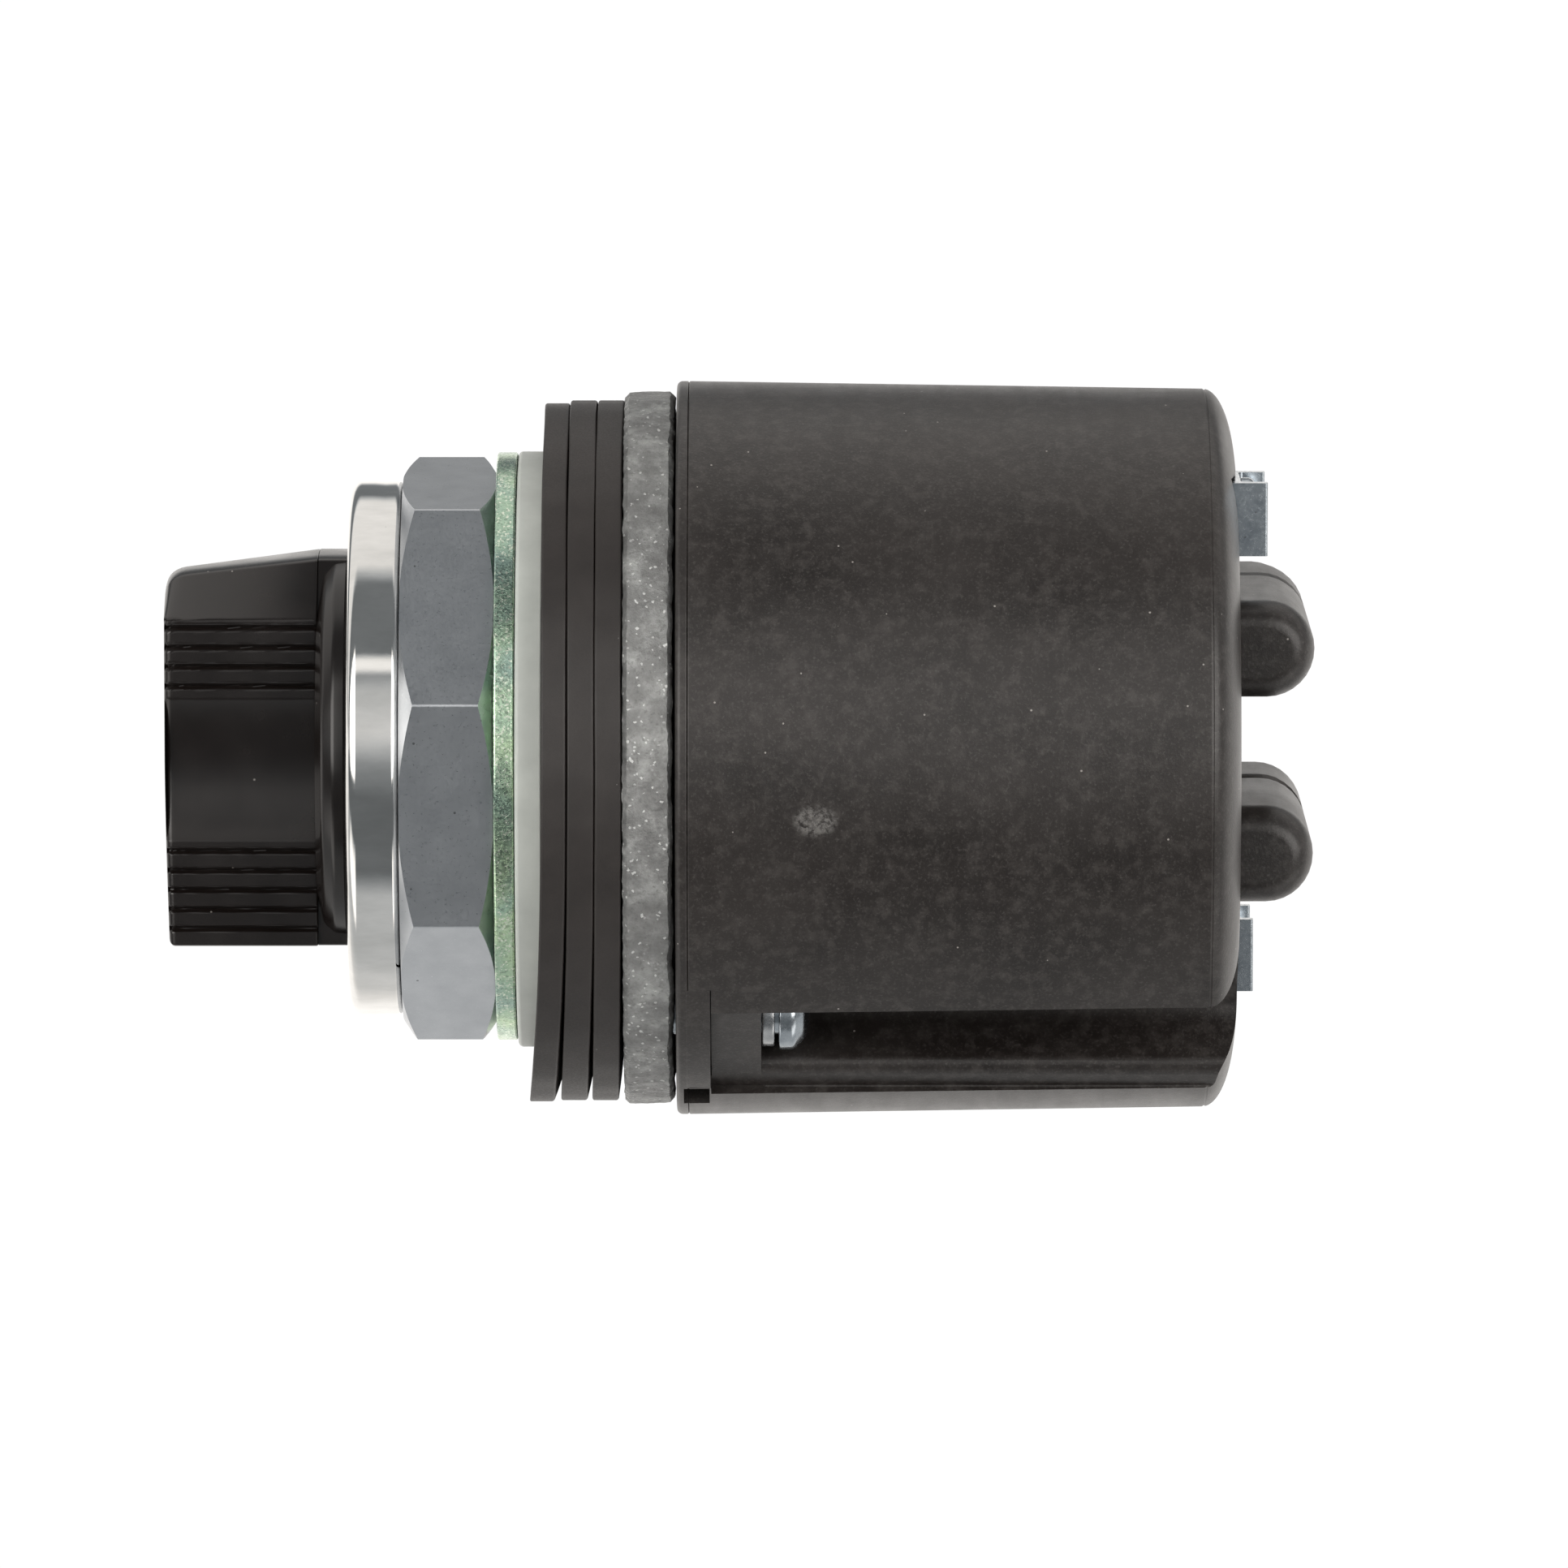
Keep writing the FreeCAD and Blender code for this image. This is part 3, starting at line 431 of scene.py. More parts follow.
def plated_nut():
    """Satin nickel flats with a blue cast, handling dots and small dents."""
    material, tree, shader, mm = start("plated_nut")
    cloud = speckle(tree, mm, 0.35, 4.0, 0.6)
    grain = speckle(tree, mm, 6.0, 3.0, 0.6)
    brushed = speckle(tree, mm, 2.2, 3.0, 0.6, (0.25, 3.0, 3.0))
    base = ramp(tree, cloud, [(0.3, (0.465, 0.485, 0.51)), (0.7, (0.555, 0.575, 0.60))])
    darker = mixed(tree, dust(tree, mm, 0.75, 0.06), base, (0.20, 0.21, 0.22))
    dotted = mixed(tree, dust(tree, mm, 1.15, 0.04), darker, (0.78, 0.80, 0.82))
    tree.links.new(dotted, shader.inputs["Base Color"])
    shader.inputs["Metallic"].default_value = 1.0
    tree.links.new(ramp(tree, grain, [(0.3, 0.27), (0.7, 0.35)]), shader.inputs["Roughness"])
    bumps(tree, shader, [(grain, 0.3, 0.005), (brushed, 0.18, 0.006), (cloud, 0.2, 0.04)])
    return material


def green_chromate():
    """Thin plated washer: green and teal film over a sparkling etched surface."""
    material, tree, shader, mm = start("green_chromate")
    cloud = speckle(tree, mm, 0.16, 3.0, 0.55)
    cells = node(tree, "TexVoronoi", {"Vector": mm, "Scale": 7.5})
    parts = node(tree, "SeparateColor", {"Color": cells.outputs["Color"]})
    film = ramp(tree, cloud, [
        (0.30, (0.33, 0.46, 0.42)), (0.45, (0.42, 0.58, 0.44)),
        (0.58, (0.55, 0.72, 0.48)), (0.72, (0.36, 0.55, 0.52)),
    ])
    dark = mixed(tree, ramp(tree, parts.outputs[0], [(0.66, 0.0), (0.9, 0.4)]), film, (0.10, 0.13, 0.11))
    bright = mixed(tree, ramp(tree, parts.outputs[1], [(0.80, 0.0), (0.95, 0.8)]), dark, (0.86, 0.92, 0.78))
    tree.links.new(bright, shader.inputs["Base Color"])
    shader.inputs["Metallic"].default_value = 1.0
    tree.links.new(ramp(tree, parts.outputs[2], [(0.2, 0.16), (0.8, 0.32)]), shader.inputs["Roughness"])
    bumps(tree, shader, [(parts.outputs[0], 0.5, 0.02), (speckle(tree, mm, 9.0), 0.4, 0.01)])
    return material


def grey_trim():
    """Light grey satin washer with faint cloudy marks."""
    material, tree, shader, mm = start("grey_trim")
    cloud = speckle(tree, mm, 0.3, 4.0, 0.6)
    fine = speckle(tree, mm, 7.0, 2.0, 0.5)
    base = ramp(tree, cloud, [(0.3, (0.47, 0.495, 0.465)), (0.72, (0.56, 0.585, 0.55))])
    tree.links.new(base, shader.inputs["Base Color"])
    tree.links.new(ramp(tree, fine, [(0.3, 0.38), (0.7, 0.5)]), shader.inputs["Roughness"])
    bumps(tree, shader, [(fine, 0.3, 0.006)])
    return material


def metal(name, low, high, rough_low, rough_high, grain_scale=4.0, spots=(0.2, 0.2, 0.2)):
    """A plain metal with cloudy tone, uneven polish and small spots."""
    material, tree, shader, mm = start(name)
    cloud = speckle(tree, mm, 0.9, 4.0, 0.6)
    grain = speckle(tree, mm, grain_scale, 3.0, 0.6)
    base = ramp(tree, cloud, [(0.3, low), (0.7, high)])
    spotted = mixed(tree, dust(tree, mm, 1.6, 0.08), base, spots)
    tree.links.new(spotted, shader.inputs["Base Color"])
    shader.inputs["Metallic"].default_value = 1.0
    tree.links.new(ramp(tree, grain, [(0.3, rough_low), (0.7, rough_high)]), shader.inputs["Roughness"])
    bumps(tree, shader, [(grain, 0.35, 0.008), (cloud, 0.25, 0.03)])
    return material


def plastic(name, low, high, rough_low, rough_high, glow=0.0):
    """A moulded plastic with slight cloudiness and fine grain."""
    material, tree, shader, mm = start(name)
    cloud = speckle(tree, mm, 0.5, 4.0, 0.6)
    grain = speckle(tree, mm, 7.0, 2.0, 0.6)
    tree.links.new(ramp(tree, cloud, [(0.3, low), (0.7, high)]), shader.inputs["Base Color"])
    tree.links.new(ramp(tree, grain, [(0.3, rough_low), (0.7, rough_high)]), shader.inputs["Roughness"])
    shader.inputs["Subsurface Weight"].default_value = glow
    shader.inputs["Subsurface Scale"].default_value = 0.0
    bumps(tree, shader, [(grain, 0.3, 0.006)])
    return material


MATERIALS = {
    "black_moulding": moulded_block(),
    "knob_moulding": moulded_knob(),
    "white_insert": plastic("white_insert", (0.70, 0.70, 0.67), (0.82, 0.82, 0.79), 0.3, 0.45, 0.1),
    "rubber": rubber(),
    "zinc_casting": zinc_casting(),
    "polished_chrome": chrome(),
    "plated_nut": plated_nut(),
    "green_chromate": green_chromate(),
    "grey_trim": grey_trim(),
    "steel": metal("steel", (0.34, 0.375, 0.41), (0.50, 0.54, 0.57), 0.14, 0.3),
    "nylon": plastic("nylon", (0.62, 0.60, 0.52), (0.74, 0.72, 0.64), 0.35, 0.5, 0.2),
    "brass": metal("brass", (0.62, 0.45, 0.18), (0.78, 0.60, 0.28), 0.18, 0.32, spots=(0.3, 0.2, 0.08)),
    "silver": metal("silver", (0.74, 0.73, 0.70), (0.88, 0.87, 0.84), 0.14, 0.26),
    "spring_steel": metal("spring_steel", (0.40, 0.41, 0.42), (0.58, 0.59, 0.60), 0.2, 0.34),
}


# ---- operator pieces ----
def ring_outline(x0, x1, outer, inner, radii):
    """A ring's section; radii round its front outer, rear outer, rear inner and front inner edges."""
    points = [(x0, outer), (x1, outer), (x1, inner), (x0, inner)]
    return rounded(points, dict(enumerate(radii)), 8)


CLAMP_BORE_R = 14.97
WASHER_BORE_R = 15.1
GASKET_BORE_R = 15.2


def make_bezel_ring():
    """Polished ring: big front shoulder, faint waist, small rear shoulder close to the nut."""
    x0, x1, r = span("bezel_ring")
    r += 0.06
    x1 += 0.09
    points = [
        (x0, r), (x0 + 1.55, r), (x0 + 2.3, r - 0.05), (x1, r), (x1, CLAMP_BORE_R), (x0, CLAMP_BORE_R),
    ]
    outline = rounded(points, {0: 1.4, 3: 0.65, 4: 0.15, 5: 0.35}, 12)
    mesh = lathe_mesh("bezel_ring_shell", outline, 320)
    return finish_mesh("bezel_ring_shell", mesh, "panel_clamp_set", "polished_chrome", ["bezel_ring"], 60)


def make_nut():
    """Octagonal nut with bevelled ends and slightly rounded corners."""
    x0, x1, _ = span("octagonal_nut")
    flats = 35.2
    corner_r = flats / 2 / math.cos(math.pi / 8)
    turn = math.radians(-14.9)
    points = []
    for k in range(8):
        a = turn + TAU * k / 8
        points.append((-corner_r * math.cos(a), -corner_r * math.sin(a)))
    outline = rounded(points, {k: 0.3 for k in range(8)}, 5)
    prism = prism_mesh("nut_prism", outline, [x0, x1], along_axis)
    bevel_r = 17.65
    bevel_x = (corner_r + 0.5 - bevel_r) * 0.66
    section = [
        (x0, bevel_r), (x0 + bevel_x, corner_r + 0.5), (x1 - bevel_x, corner_r + 0.5),
        (x1, bevel_r), (x1, CLAMP_BORE_R), (x0, CLAMP_BORE_R),
    ]
    cone = lathe_mesh("nut_cone", rounded(section, {4: 0.3, 5: 0.3}, 3), 360)
    mesh = combined(prism, [cone], "INTERSECT")
    piece = finish_mesh("octagonal_nut_body", mesh, "panel_clamp_set", "plated_nut", ["octagonal_nut"], 14)
    return soft_edges(piece, 0.08, 14.0, 2)


def make_washer(name, cad, slot, radii, key, trim, lift):
    """A flat washer, a little under size and off centre, slotted where it has a locating key."""
    x0, x1, r = span(cad)

    def off_centre(p, angle, radius):
        return p + Vector((0, 0, lift))

    mesh = lathe_mesh(name, ring_outline(x0, x1, r - trim, WASHER_BORE_R, radii), 320, off_centre)
    if key:
        mesh = combined(mesh, [box_mesh("slot", (x0 - 1, -2.4, 12.0), (x1 + 1, 2.4, 16.6))], "DIFFERENCE")
    return finish_mesh(name, mesh, "panel_clamp_set", slot, [cad])


GASKET_DROOP = {"gasket_1": 1.15, "gasket_2": 0.7, "gasket_3": 0.4}
GASKET_SINK = {"gasket_1": 0.32, "gasket_2": 0.18, "gasket_3": 0.18}


def make_gasket(cad):
    """A rubber gasket that hangs a little low and whose lower edge leans towards the knob."""
    x0, x1, r = span(cad)
    droop = GASKET_DROOP[cad]
    sink = GASKET_SINK[cad]
    outline = ring_outline(x0 + 0.02, x1 - 0.02, r - sink * 0.4, GASKET_BORE_R, (0.16, 0.16, 0.05, 0.05))
    outline = divided(outline, 0.45)

    def relaxed(p, angle, radius):
        beyond = max(0.0, (radius - 18.6) / (r - 18.6))
        low = max(0.0, math.sin(angle)) ** 2.2
        sway = 0.05 * noise.noise(Vector((math.cos(angle) * 2.1, math.sin(angle) * 2.1, x0)))
        lean = droop * beyond ** 1.6 * low + sway * beyond
        edge = 0.05 * noise.noise(Vector((math.cos(angle) * 9, math.sin(angle) * 9, x0 * 3))) * beyond
        scale = 1 + edge / radius
        return Vector((p.x - lean, p.y * scale, p.z * scale - sink * beyond))

    mesh = lathe_mesh(cad + "_seal", outline, 360, relaxed)
    slot = box_mesh("slot", (x0 - 1.5, -2.4, 12.0), (x1 + 1, 2.4, 16.6))
    mesh = combined(mesh, [slot], "DIFFERENCE")
    return finish_mesh(cad + "_seal", mesh, "switch_body", "rubber", [cad])


def make_casting():
    """Cast bushing: threaded barrel, key and a rough, slightly uneven flange."""
    flange = 23.05
    outline = [(-11.6, 9.2), (-11.6, 14.6), (-11.3, 14.9)]
    x = -10.6
    while x + 1.27 < -1.6:
        outline += [(x - 0.44, 14.9), (x, 14.45), (x + 0.44, 14.9)]
        x += 1.27
    outline += [(5.17, 14.9), (5.17, flange - 0.3), (5.45, flange - 0.02), (8.15, flange - 0.02)]
    outline += [(8.45, flange - 0.35), (8.45, 11.0), (2.2, 11.0), (2.2, 3.2), (-6.2, 3.2), (-6.2, 4.6)]
    outline += [(-8.7, 4.6), (-8.7, 9.2)]
    outline = divided(outline, 0.42)

    def cast(p, angle, radius):
        rim = min(1.0, max(0.0, (radius - 21.2) / 0.8))
        if rim <= 0:
            return p
        coarse = noise.noise(p * 0.55) * 0.09 + noise.noise(p * 1.5) * 0.06
        fine = noise.noise(p * 3.6) * 0.045
        inward = min(0.0, coarse + fine - 0.07) * rim
        scale = 1 + inward / radius
        edge = 0.16 * noise.noise(Vector((p.x * 0.2, p.y * 0.4, p.z * 0.4))) * rim
        ragged = 0.09 * noise.noise(Vector((0.0, p.y * 1.7, p.z * 1.7))) * rim
        toward_rear = max(0.0, min(1.0, (p.x - 6.6) / 1.4))
        toward_front = max(0.0, min(1.0, (6.4 - p.x) / 1.2))
        shift = (edge + ragged - 0.1) * toward_rear + (ragged + 0.03) * toward_front
        return Vector((p.x + shift, p.y * scale, p.z * scale))

    mesh = lathe_mesh("bushing_body", outline, 640, cast)
    key = box_mesh("key", (-1.6, -2.2, 12.9), (5.6, 2.2, 16.4))
    mesh = combined(mesh, [key], "UNION")
    return finish_mesh("bushing_body", mesh, "switch_body", "zinc_casting", ["bushing_casting"])


SERRATION_LINES = [8.5, 7.24, 5.98, 4.72, -5.95, -7.21, -8.47, -9.73, -10.99]
CHEEK = 6.3
CORE_CHEEK = 5.9
CHEEK_TOP_Z = 9.0
GRIP_REAR_X = -14.55
SKIRT_REAR_X = -12.6


def cheek_depth(z):
    """How far the grip's cheek lies inside its widest plane at a height: finger scoop and lines."""
    depth = 0.0
    middle = (z + 0.7) / 4.6
    if abs(middle) < 1:
        depth = 1.15 * (1 - middle * middle)
    for line in SERRATION_LINES:
        away = abs(z - line) / 0.2
        if away < 1:
            depth += 0.3 * (1 - away) ** 0.8
    return depth


def grip_section(top, bottom, cheek, crest, shrink, lined):
    """The grip's outline across the axis, from the top round the near cheek and back."""
    half = cheek - shrink
    rows = 420
    low = bottom + shrink
    high = top - shrink
    near = []
    for k in range(rows + 1):
        z = high - (high - low) * k / rows
        y = half - cheek_depth(z) if lined else half
        if z > CHEEK_TOP_Z:
            y = half + (crest - shrink - half) * (z - CHEEK_TOP_Z) / (high - CHEEK_TOP_Z)
        for end, radius, bow in ((high - z, 0.3, 0.5), (z - low, 0.35, 0.5)):
            if end < radius:
                y *= max(0.0, 1 - (1 - end / radius) ** 2) ** bow
        near.append((-y, z))
    far = [(-y, z) for y, z in reversed(near[1:-1])]
    return near + far


def corner_drop(along, radius):
    """How far a rounded corner falls below its flat at a distance from the corner's start."""
    left = max(0.0, 1 - along / radius)
    return radius * (1 - math.sqrt(max(0.0, 1 - left * left)))


def make_knob():
    """Knob: serrated grip with a slanted crest, round skirt with a soft shoulder, and hub."""
    x0, _, _ = span("knob")
    length = GRIP_REAR_X - x0
    full = SKIRT_REAR_X - x0
    stations = [0.0, 0.02, 0.06, 0.12, 0.2, 0.3, 0.45, 0.7, 1.0, 1.3, 1.8, 2.4]
    stations += [3.4 + 0.8 * k for k in range(8)]
    stations += [length - away for away in (0.3, 0.14, 0.09, 0.05, 0.02, 0.0, -0.01, -0.06)]
    stations += [length + 0.9, full]
    verts = []
    count = 0
    for station in stations:
        core = station > length
        shrink = corner_drop(station, 0.42)
        if not core:
            shrink += corner_drop(length - station, 0.14)
        along = min(1.0, station / 10.0)
        top = 11.55 + (12.8 - 11.55) * along - corner_drop(station, 1.3) * 0.75
        crest = 1.7 + 1.2 * along
        cheek = CORE_CHEEK if core else CHEEK
        outline = grip_section(top, -12.4, cheek, crest, shrink, not core and station > 0.02)
        count = len(outline)
        for y, z in outline:
            tilt = 0.3 * max(0.0, -z / 12.6) ** 1.5 * max(0.0, 1 - station / 2.5)
            bow = 0.10 * (y / 6.3) ** 2 * max(0.0, 1 - station / 2.5)
            verts.append(Vector((x0 + station + tilt + bow, y, z)))
    faces = wall_faces(len(stations), count)
    half = (count + 2) // 2
    last = (len(stations) - 1) * count
    for base in (0, last):
        for k in range(half - 1):
            a = base + k
            b = base + k + 1
            c = base + (count - k - 1) % count
            d = base + (count - k) % count
            if k == 0:
                faces.append((a, b, c))
            elif k == half - 2:
                faces.append((a, b, d))
            else:
                faces.append((a, b, c, d))
    grip = mesh_from("grip", verts, faces)
    skirt_r = 12.8
    points = [
        (-14.62, 0.0), (-14.62, 10.6), (-14.2, 12.2), (-13.45, skirt_r - 0.06), (-12.75, skirt_r),
        (-12.6, skirt_r - 0.15), (-12.6, 8.6), (-9.2, 8.6), (-9.2, 0.0),
    ]
    outline = rounded(points, {1: 0.5, 2: 0.8, 3: 0.5, 4: 0.06, 5: 0.06}, 6)
    mesh = combined(grip, [lathe_mesh("skirt", outline, 256)], "UNION")
    bore = rod_mesh("bore", -21.05, -9.0, 0, 0, 3.17)
    insert = box_mesh("insert", (x0 - 1, -0.77, 1.48), (x0 + 0.62, 0.77, 9.62))
    hole_x = -18.4
    screw_hole = prism_mesh(
        "hole", circle(0, 0, 1.3, 32), [-14.0, 0.0], lambda z, u, v: Vector((hole_x + u, v, z))
    )
    mesh = combined(mesh, [bore, insert, screw_hole], "DIFFERENCE")
    return finish_mesh("knob_body", mesh, "knob_set", "knob_moulding", ["knob"], 32)


# ---- contact block ----
def channel_outline():
    """The screw channel's section as (outward, across) points; across is towards the lower lip."""
    points = [
        (60.0, -4.95), (17.2, -4.95), (17.2, 2.75), (22.5, 2.75), (22.5, 4.95), (60.0, 4.95),
    ]
    return rounded(points, {1: 1.6, 2: 2.0, 3: 0.9, 4: 0.12}, 7)


def channel_mesh(angle):
    """One screw channel cutter with its shallow lug face in front."""
    outline = channel_outline()

    def placed(x, out, across):
        return Vector((x, -out, -across))

    trough = prism_mesh("channel", outline, [13.97, 60.0], placed)
    lug = prism_mesh("lug", [(60, -4.95), (22.5, -4.95), (22.5, 4.95), (60, 4.95)], [10.76, 14.2], placed)
    return [turned_about_axis(m, angle) for m in (trough, lug)]


def sector_mesh(x0, x1, outer, inner, angle0, angle1):
    """A cutter shaped as a piece of a ring between two angles."""
    steps = 16
    turn = [math.radians(angle0 + (angle1 - angle0) * k / steps) for k in range(steps + 1)]
    outline = [(-outer * math.cos(a), -outer * math.sin(a)) for a in turn]
    outline += [(-inner * math.cos(a), -inner * math.sin(a)) for a in reversed(turn)]
    return prism_mesh("sector", outline, [x0, x1], along_axis)


def rib_section(half, height):
    """A barrier rib's section as (height, width) points: straight sides and a round crest."""
    shoulder = height * 0.37
    points = [(-0.6, -half), (shoulder, -half)]
    for k in range(1, 16):
        a = math.pi * k / 16
        points.append((shoulder + (height - shoulder) * math.sin(a), -half * math.cos(a)))
    return points + [(shoulder, half), (-0.6, half)]


def rib_mesh(base_x, z_middle, height, far_round, groove):
    """A barrier rib from its near end to its far end, with a cross groove."""
    reach = 13.0
    near_round = 2.2
    stations = [-reach + near_round * (1 - math.cos(math.pi / 2 * k / 10)) for k in range(11)]
    stations += [-reach + near_round + 0.2 + 0.4 * k for k in range(58)]
    stations = [s for s in stations if s < reach - 0.01] + [reach - 0.04, reach]
    rows = []
    for y in stations:
        near = max(0.0, 1 - (y + reach) / near_round)
        inset = 1.5 * (1 - math.sqrt(max(0.0, 1 - near * near)))
        far = max(0.0, 1 - (reach - y) / 0.7)
        inset += 0.7 * (1 - math.sqrt(max(0.0, 1 - far * far)))
        slump = max(0.0, 1 - (reach - y) / far_round)
        drop = far_round * 0.92 * (1 - math.sqrt(max(0.0, 1 - slump * slump)))
        cut = groove * max(0.0, 1 - abs(y - 4.4) / 0.95) ** 0.6
        section = rib_section(3.1 - inset - cut * 0.5, height - inset - drop - cut)
        rows.append([Vector((base_x + h, y, z_middle + w)) for h, w in section])
    return loft_mesh("rib", rows)


TERMINALS = {
    "near_top": (-6.4, 15.9),
    "near_bottom": (-3.4, -13.9),
    "far_top": (3.4, 15.9),
    "far_bottom": (6.4, -13.9),
}


def terminal_cutters(name):
    """The pocket, strip slot and screw relief of one terminal."""
    y, z = TERMINALS[name]
    side = 1 if name.endswith("top") else -1
    inner = 1.0 + side * 10.9
    outer = z + side * 2.6
    low, high = min(inner, outer), max(inner, outer)
    pocket = box_mesh("pocket", (40.4, y - 4.2, z - 2.65), (60.0, y + 4.2, z + 2.65))
    strip = box_mesh("strip", (39.2, y - 3.7, low), (40.42, y + 3.7, high))
    relief = rod_mesh("relief", 30.5, 39.3, y, z, 2.0)
    return [pocket, strip, relief]


def make_housing():
    """Round moulded body: drafted wall, parting line, crowned rear, channels, pockets and ribs."""
    x0, _, _ = span("housing")
    front_r = 23.7
    rear_x = 44.5
    rear_r = 23.2
    crown_x, crown_r = 2.0, 5.5
    line_x = rear_x - crown_x + 0.1
    line_r = rear_r + (front_r - rear_r) * crown_x / (rear_x - x0) * 0.1
    points = [(x0, 0.0), (x0, front_r)]
    points += [(line_x - 0.16, line_r + 0.01), (line_x - 0.06, line_r - 0.06), (line_x, line_r - 0.07)]
    for k in range(1, 21):
        a = math.pi / 2 * k / 20
        points.append((rear_x - crown_x * (1 - math.sin(a)), rear_r - crown_r * (1 - math.cos(a))))
    points += [(rear_x, rear_r - crown_r - 1.0), (rear_x, 0.0)]
    outline = rounded(points, {1: 0.12}, 5)
    body = lathe_mesh("housing_shell", outline, 420)
    cutters = [rod_mesh("hollow", x0 - 1, 21.0, 0, 0, 16.2, 96)]
    for side in (-1, 1):
        y0, y1 = sorted((side * 1.2, side * 9.2))
        cutters.append(box_mesh("chamber", (20.9, y0, -11.2), (39.2, y1, 13.2)))
    for turn in (0.0, 180.0):
        cutters += channel_mesh(50.9 + turn)
        cutters.append(sector_mesh(x0 - 0.5, 10.79, 25.0, 22.15, 33.85 + turn, 60.35 + turn))
        cutters.append(sector_mesh(x0 - 0.5, 10.66, 25.0, 22.0, 60.6 + turn, 68.0 + turn))
        cutters.append(turned_about_axis(rod_mesh("hole", x0 - 1, 15.0, -20.0, 0, 1.6, 32), 50.9 + turn))
    for name in TERMINALS:
        cutters += terminal_cutters(name)
    cutters.append(box_mesh("clip_seat", (44.0, -3.05, 0.1), (60.0, 3.05, 3.3)))
    shell = combined(body, cutters, "DIFFERENCE")
    ribs = [rib_mesh(rear_x, 7.7, 4.85, 3.0, 0.25), rib_mesh(rear_x, -5.5, 4.8, 1.0, 0.9)]
    shell = combined(shell, ribs, "UNION")
    piece = finish_mesh("housing_shell", shell, "switch_body", "black_moulding", ["housing"], 40)
    return soft_edges(piece, 0.11, 42.0, 2)


def make_base_plate():
    """Front cover of the block, with its two latch tabs."""
    x0, _, r = span("base_plate")
    outline = ring_outline(x0 + 0.03, 9.29, r, 11.5, (0.42, 0.1, 0.1, 0.1))
    body = lathe_mesh("base_plate_body", outline, 420)
    tabs = [
        sector_mesh(8.9, 10.72, r - 0.02, 22.2, 33.9 + turn, 60.3 + turn) for turn in (0.0, 180.0)
    ]
    body = combined(body, tabs, "UNION")
    cutters = []
    for turn in (0.0, 180.0):
        cutters.append(sector_mesh(9.0, 11.0, 25.0, 22.0, 60.6 + turn, 68.0 + turn))
        cutters.append(turned_about_axis(rod_mesh("hole", 7.0, 9.5, -20.0, 0, 1.6, 32), 50.9 + turn))
    body = combined(body, cutters, "DIFFERENCE")
    piece = finish_mesh("base_plate_body", body, "switch_body", "black_moulding", ["base_plate"], 40)
    return soft_edges(piece, 0.07, 45.0, 2)


def screw_mesh(name, seat, head_r, head_h, shank_r, shank_length, slot_turn):
    """A domed slotted screw about the X axis, its head behind the seat."""
    points = [
        (seat - shank_length, 0.0), (seat - shank_length, shank_r * 0.7),
        (seat - shank_length + 0.5, shank_r), (seat, shank_r), (seat, head_r),
        (seat + head_h * 0.5, head_r), (seat + head_h * 0.88, head_r * 0.72),
        (seat + head_h, head_r * 0.25), (seat + head_h, 0.0),
    ]
    outline = rounded(points, {4: 0.12, 5: 0.55, 6: 0.8, 7: 0.3}, 5)
    body = lathe_mesh(name, outline, 96)
    slot = box_mesh("slot", (seat + head_h * 0.5, -9.0, -0.36), (seat + 9.0, 9.0, 0.36))
    return combined(body, [turned_about_axis(slot, slot_turn)], "DIFFERENCE")


def moved(mesh, y, z):
    """The mesh shifted across the switch axis."""
    mesh.transform(Matrix.Translation((0, y, z)))
    return mesh


def joined(name, meshes):
    """Several meshes as one mesh of separate solids."""
    work = bmesh.new()
    for mesh in meshes:
        work.from_mesh(mesh)
    out = bpy.data.meshes.new(name)
    work.to_mesh(out)
    work.free()
    return out


def make_mounting_screws():
    """The two screws that hold the block, each in its channel."""
    screws = []
    for angle in (50.9, 230.9):
        screw = screw_mesh("screw", 15.1, 2.4, 1.9, 1.45, 8.8, 35 + angle)
        screws.append(turned_about_axis(moved(screw, -20.0, 0), angle))
    mesh = joined("mounting_screw_pair", screws)
    return finish_mesh("mounting_screw_pair", mesh, "switch_body", "steel", ["mounting_screws"], 40)


def make_lock_washers():
    """Split spring washers, each with its gap."""
    washers = []
    for angle in (50.9, 230.9):
        section = rounded([(14.0, 2.2), (14.83, 2.2), (14.83, 1.5), (14.0, 1.5)], {0: 0.12, 1: 0.12}, 3)
        washer = lathe_mesh("washer", section, 96)
        gap = box_mesh("gap", (13.0, 0.0, -0.15), (16.0, 4.0, 0.15))
        washer = combined(washer, [gap], "DIFFERENCE")
        washers.append(turned_about_axis(moved(washer, -20.0, 0), angle))
    mesh = joined("lock_washer_pair", washers)
    return finish_mesh("lock_washer_pair", mesh, "switch_body", "spring_steel", ["lock_washers"], 40)


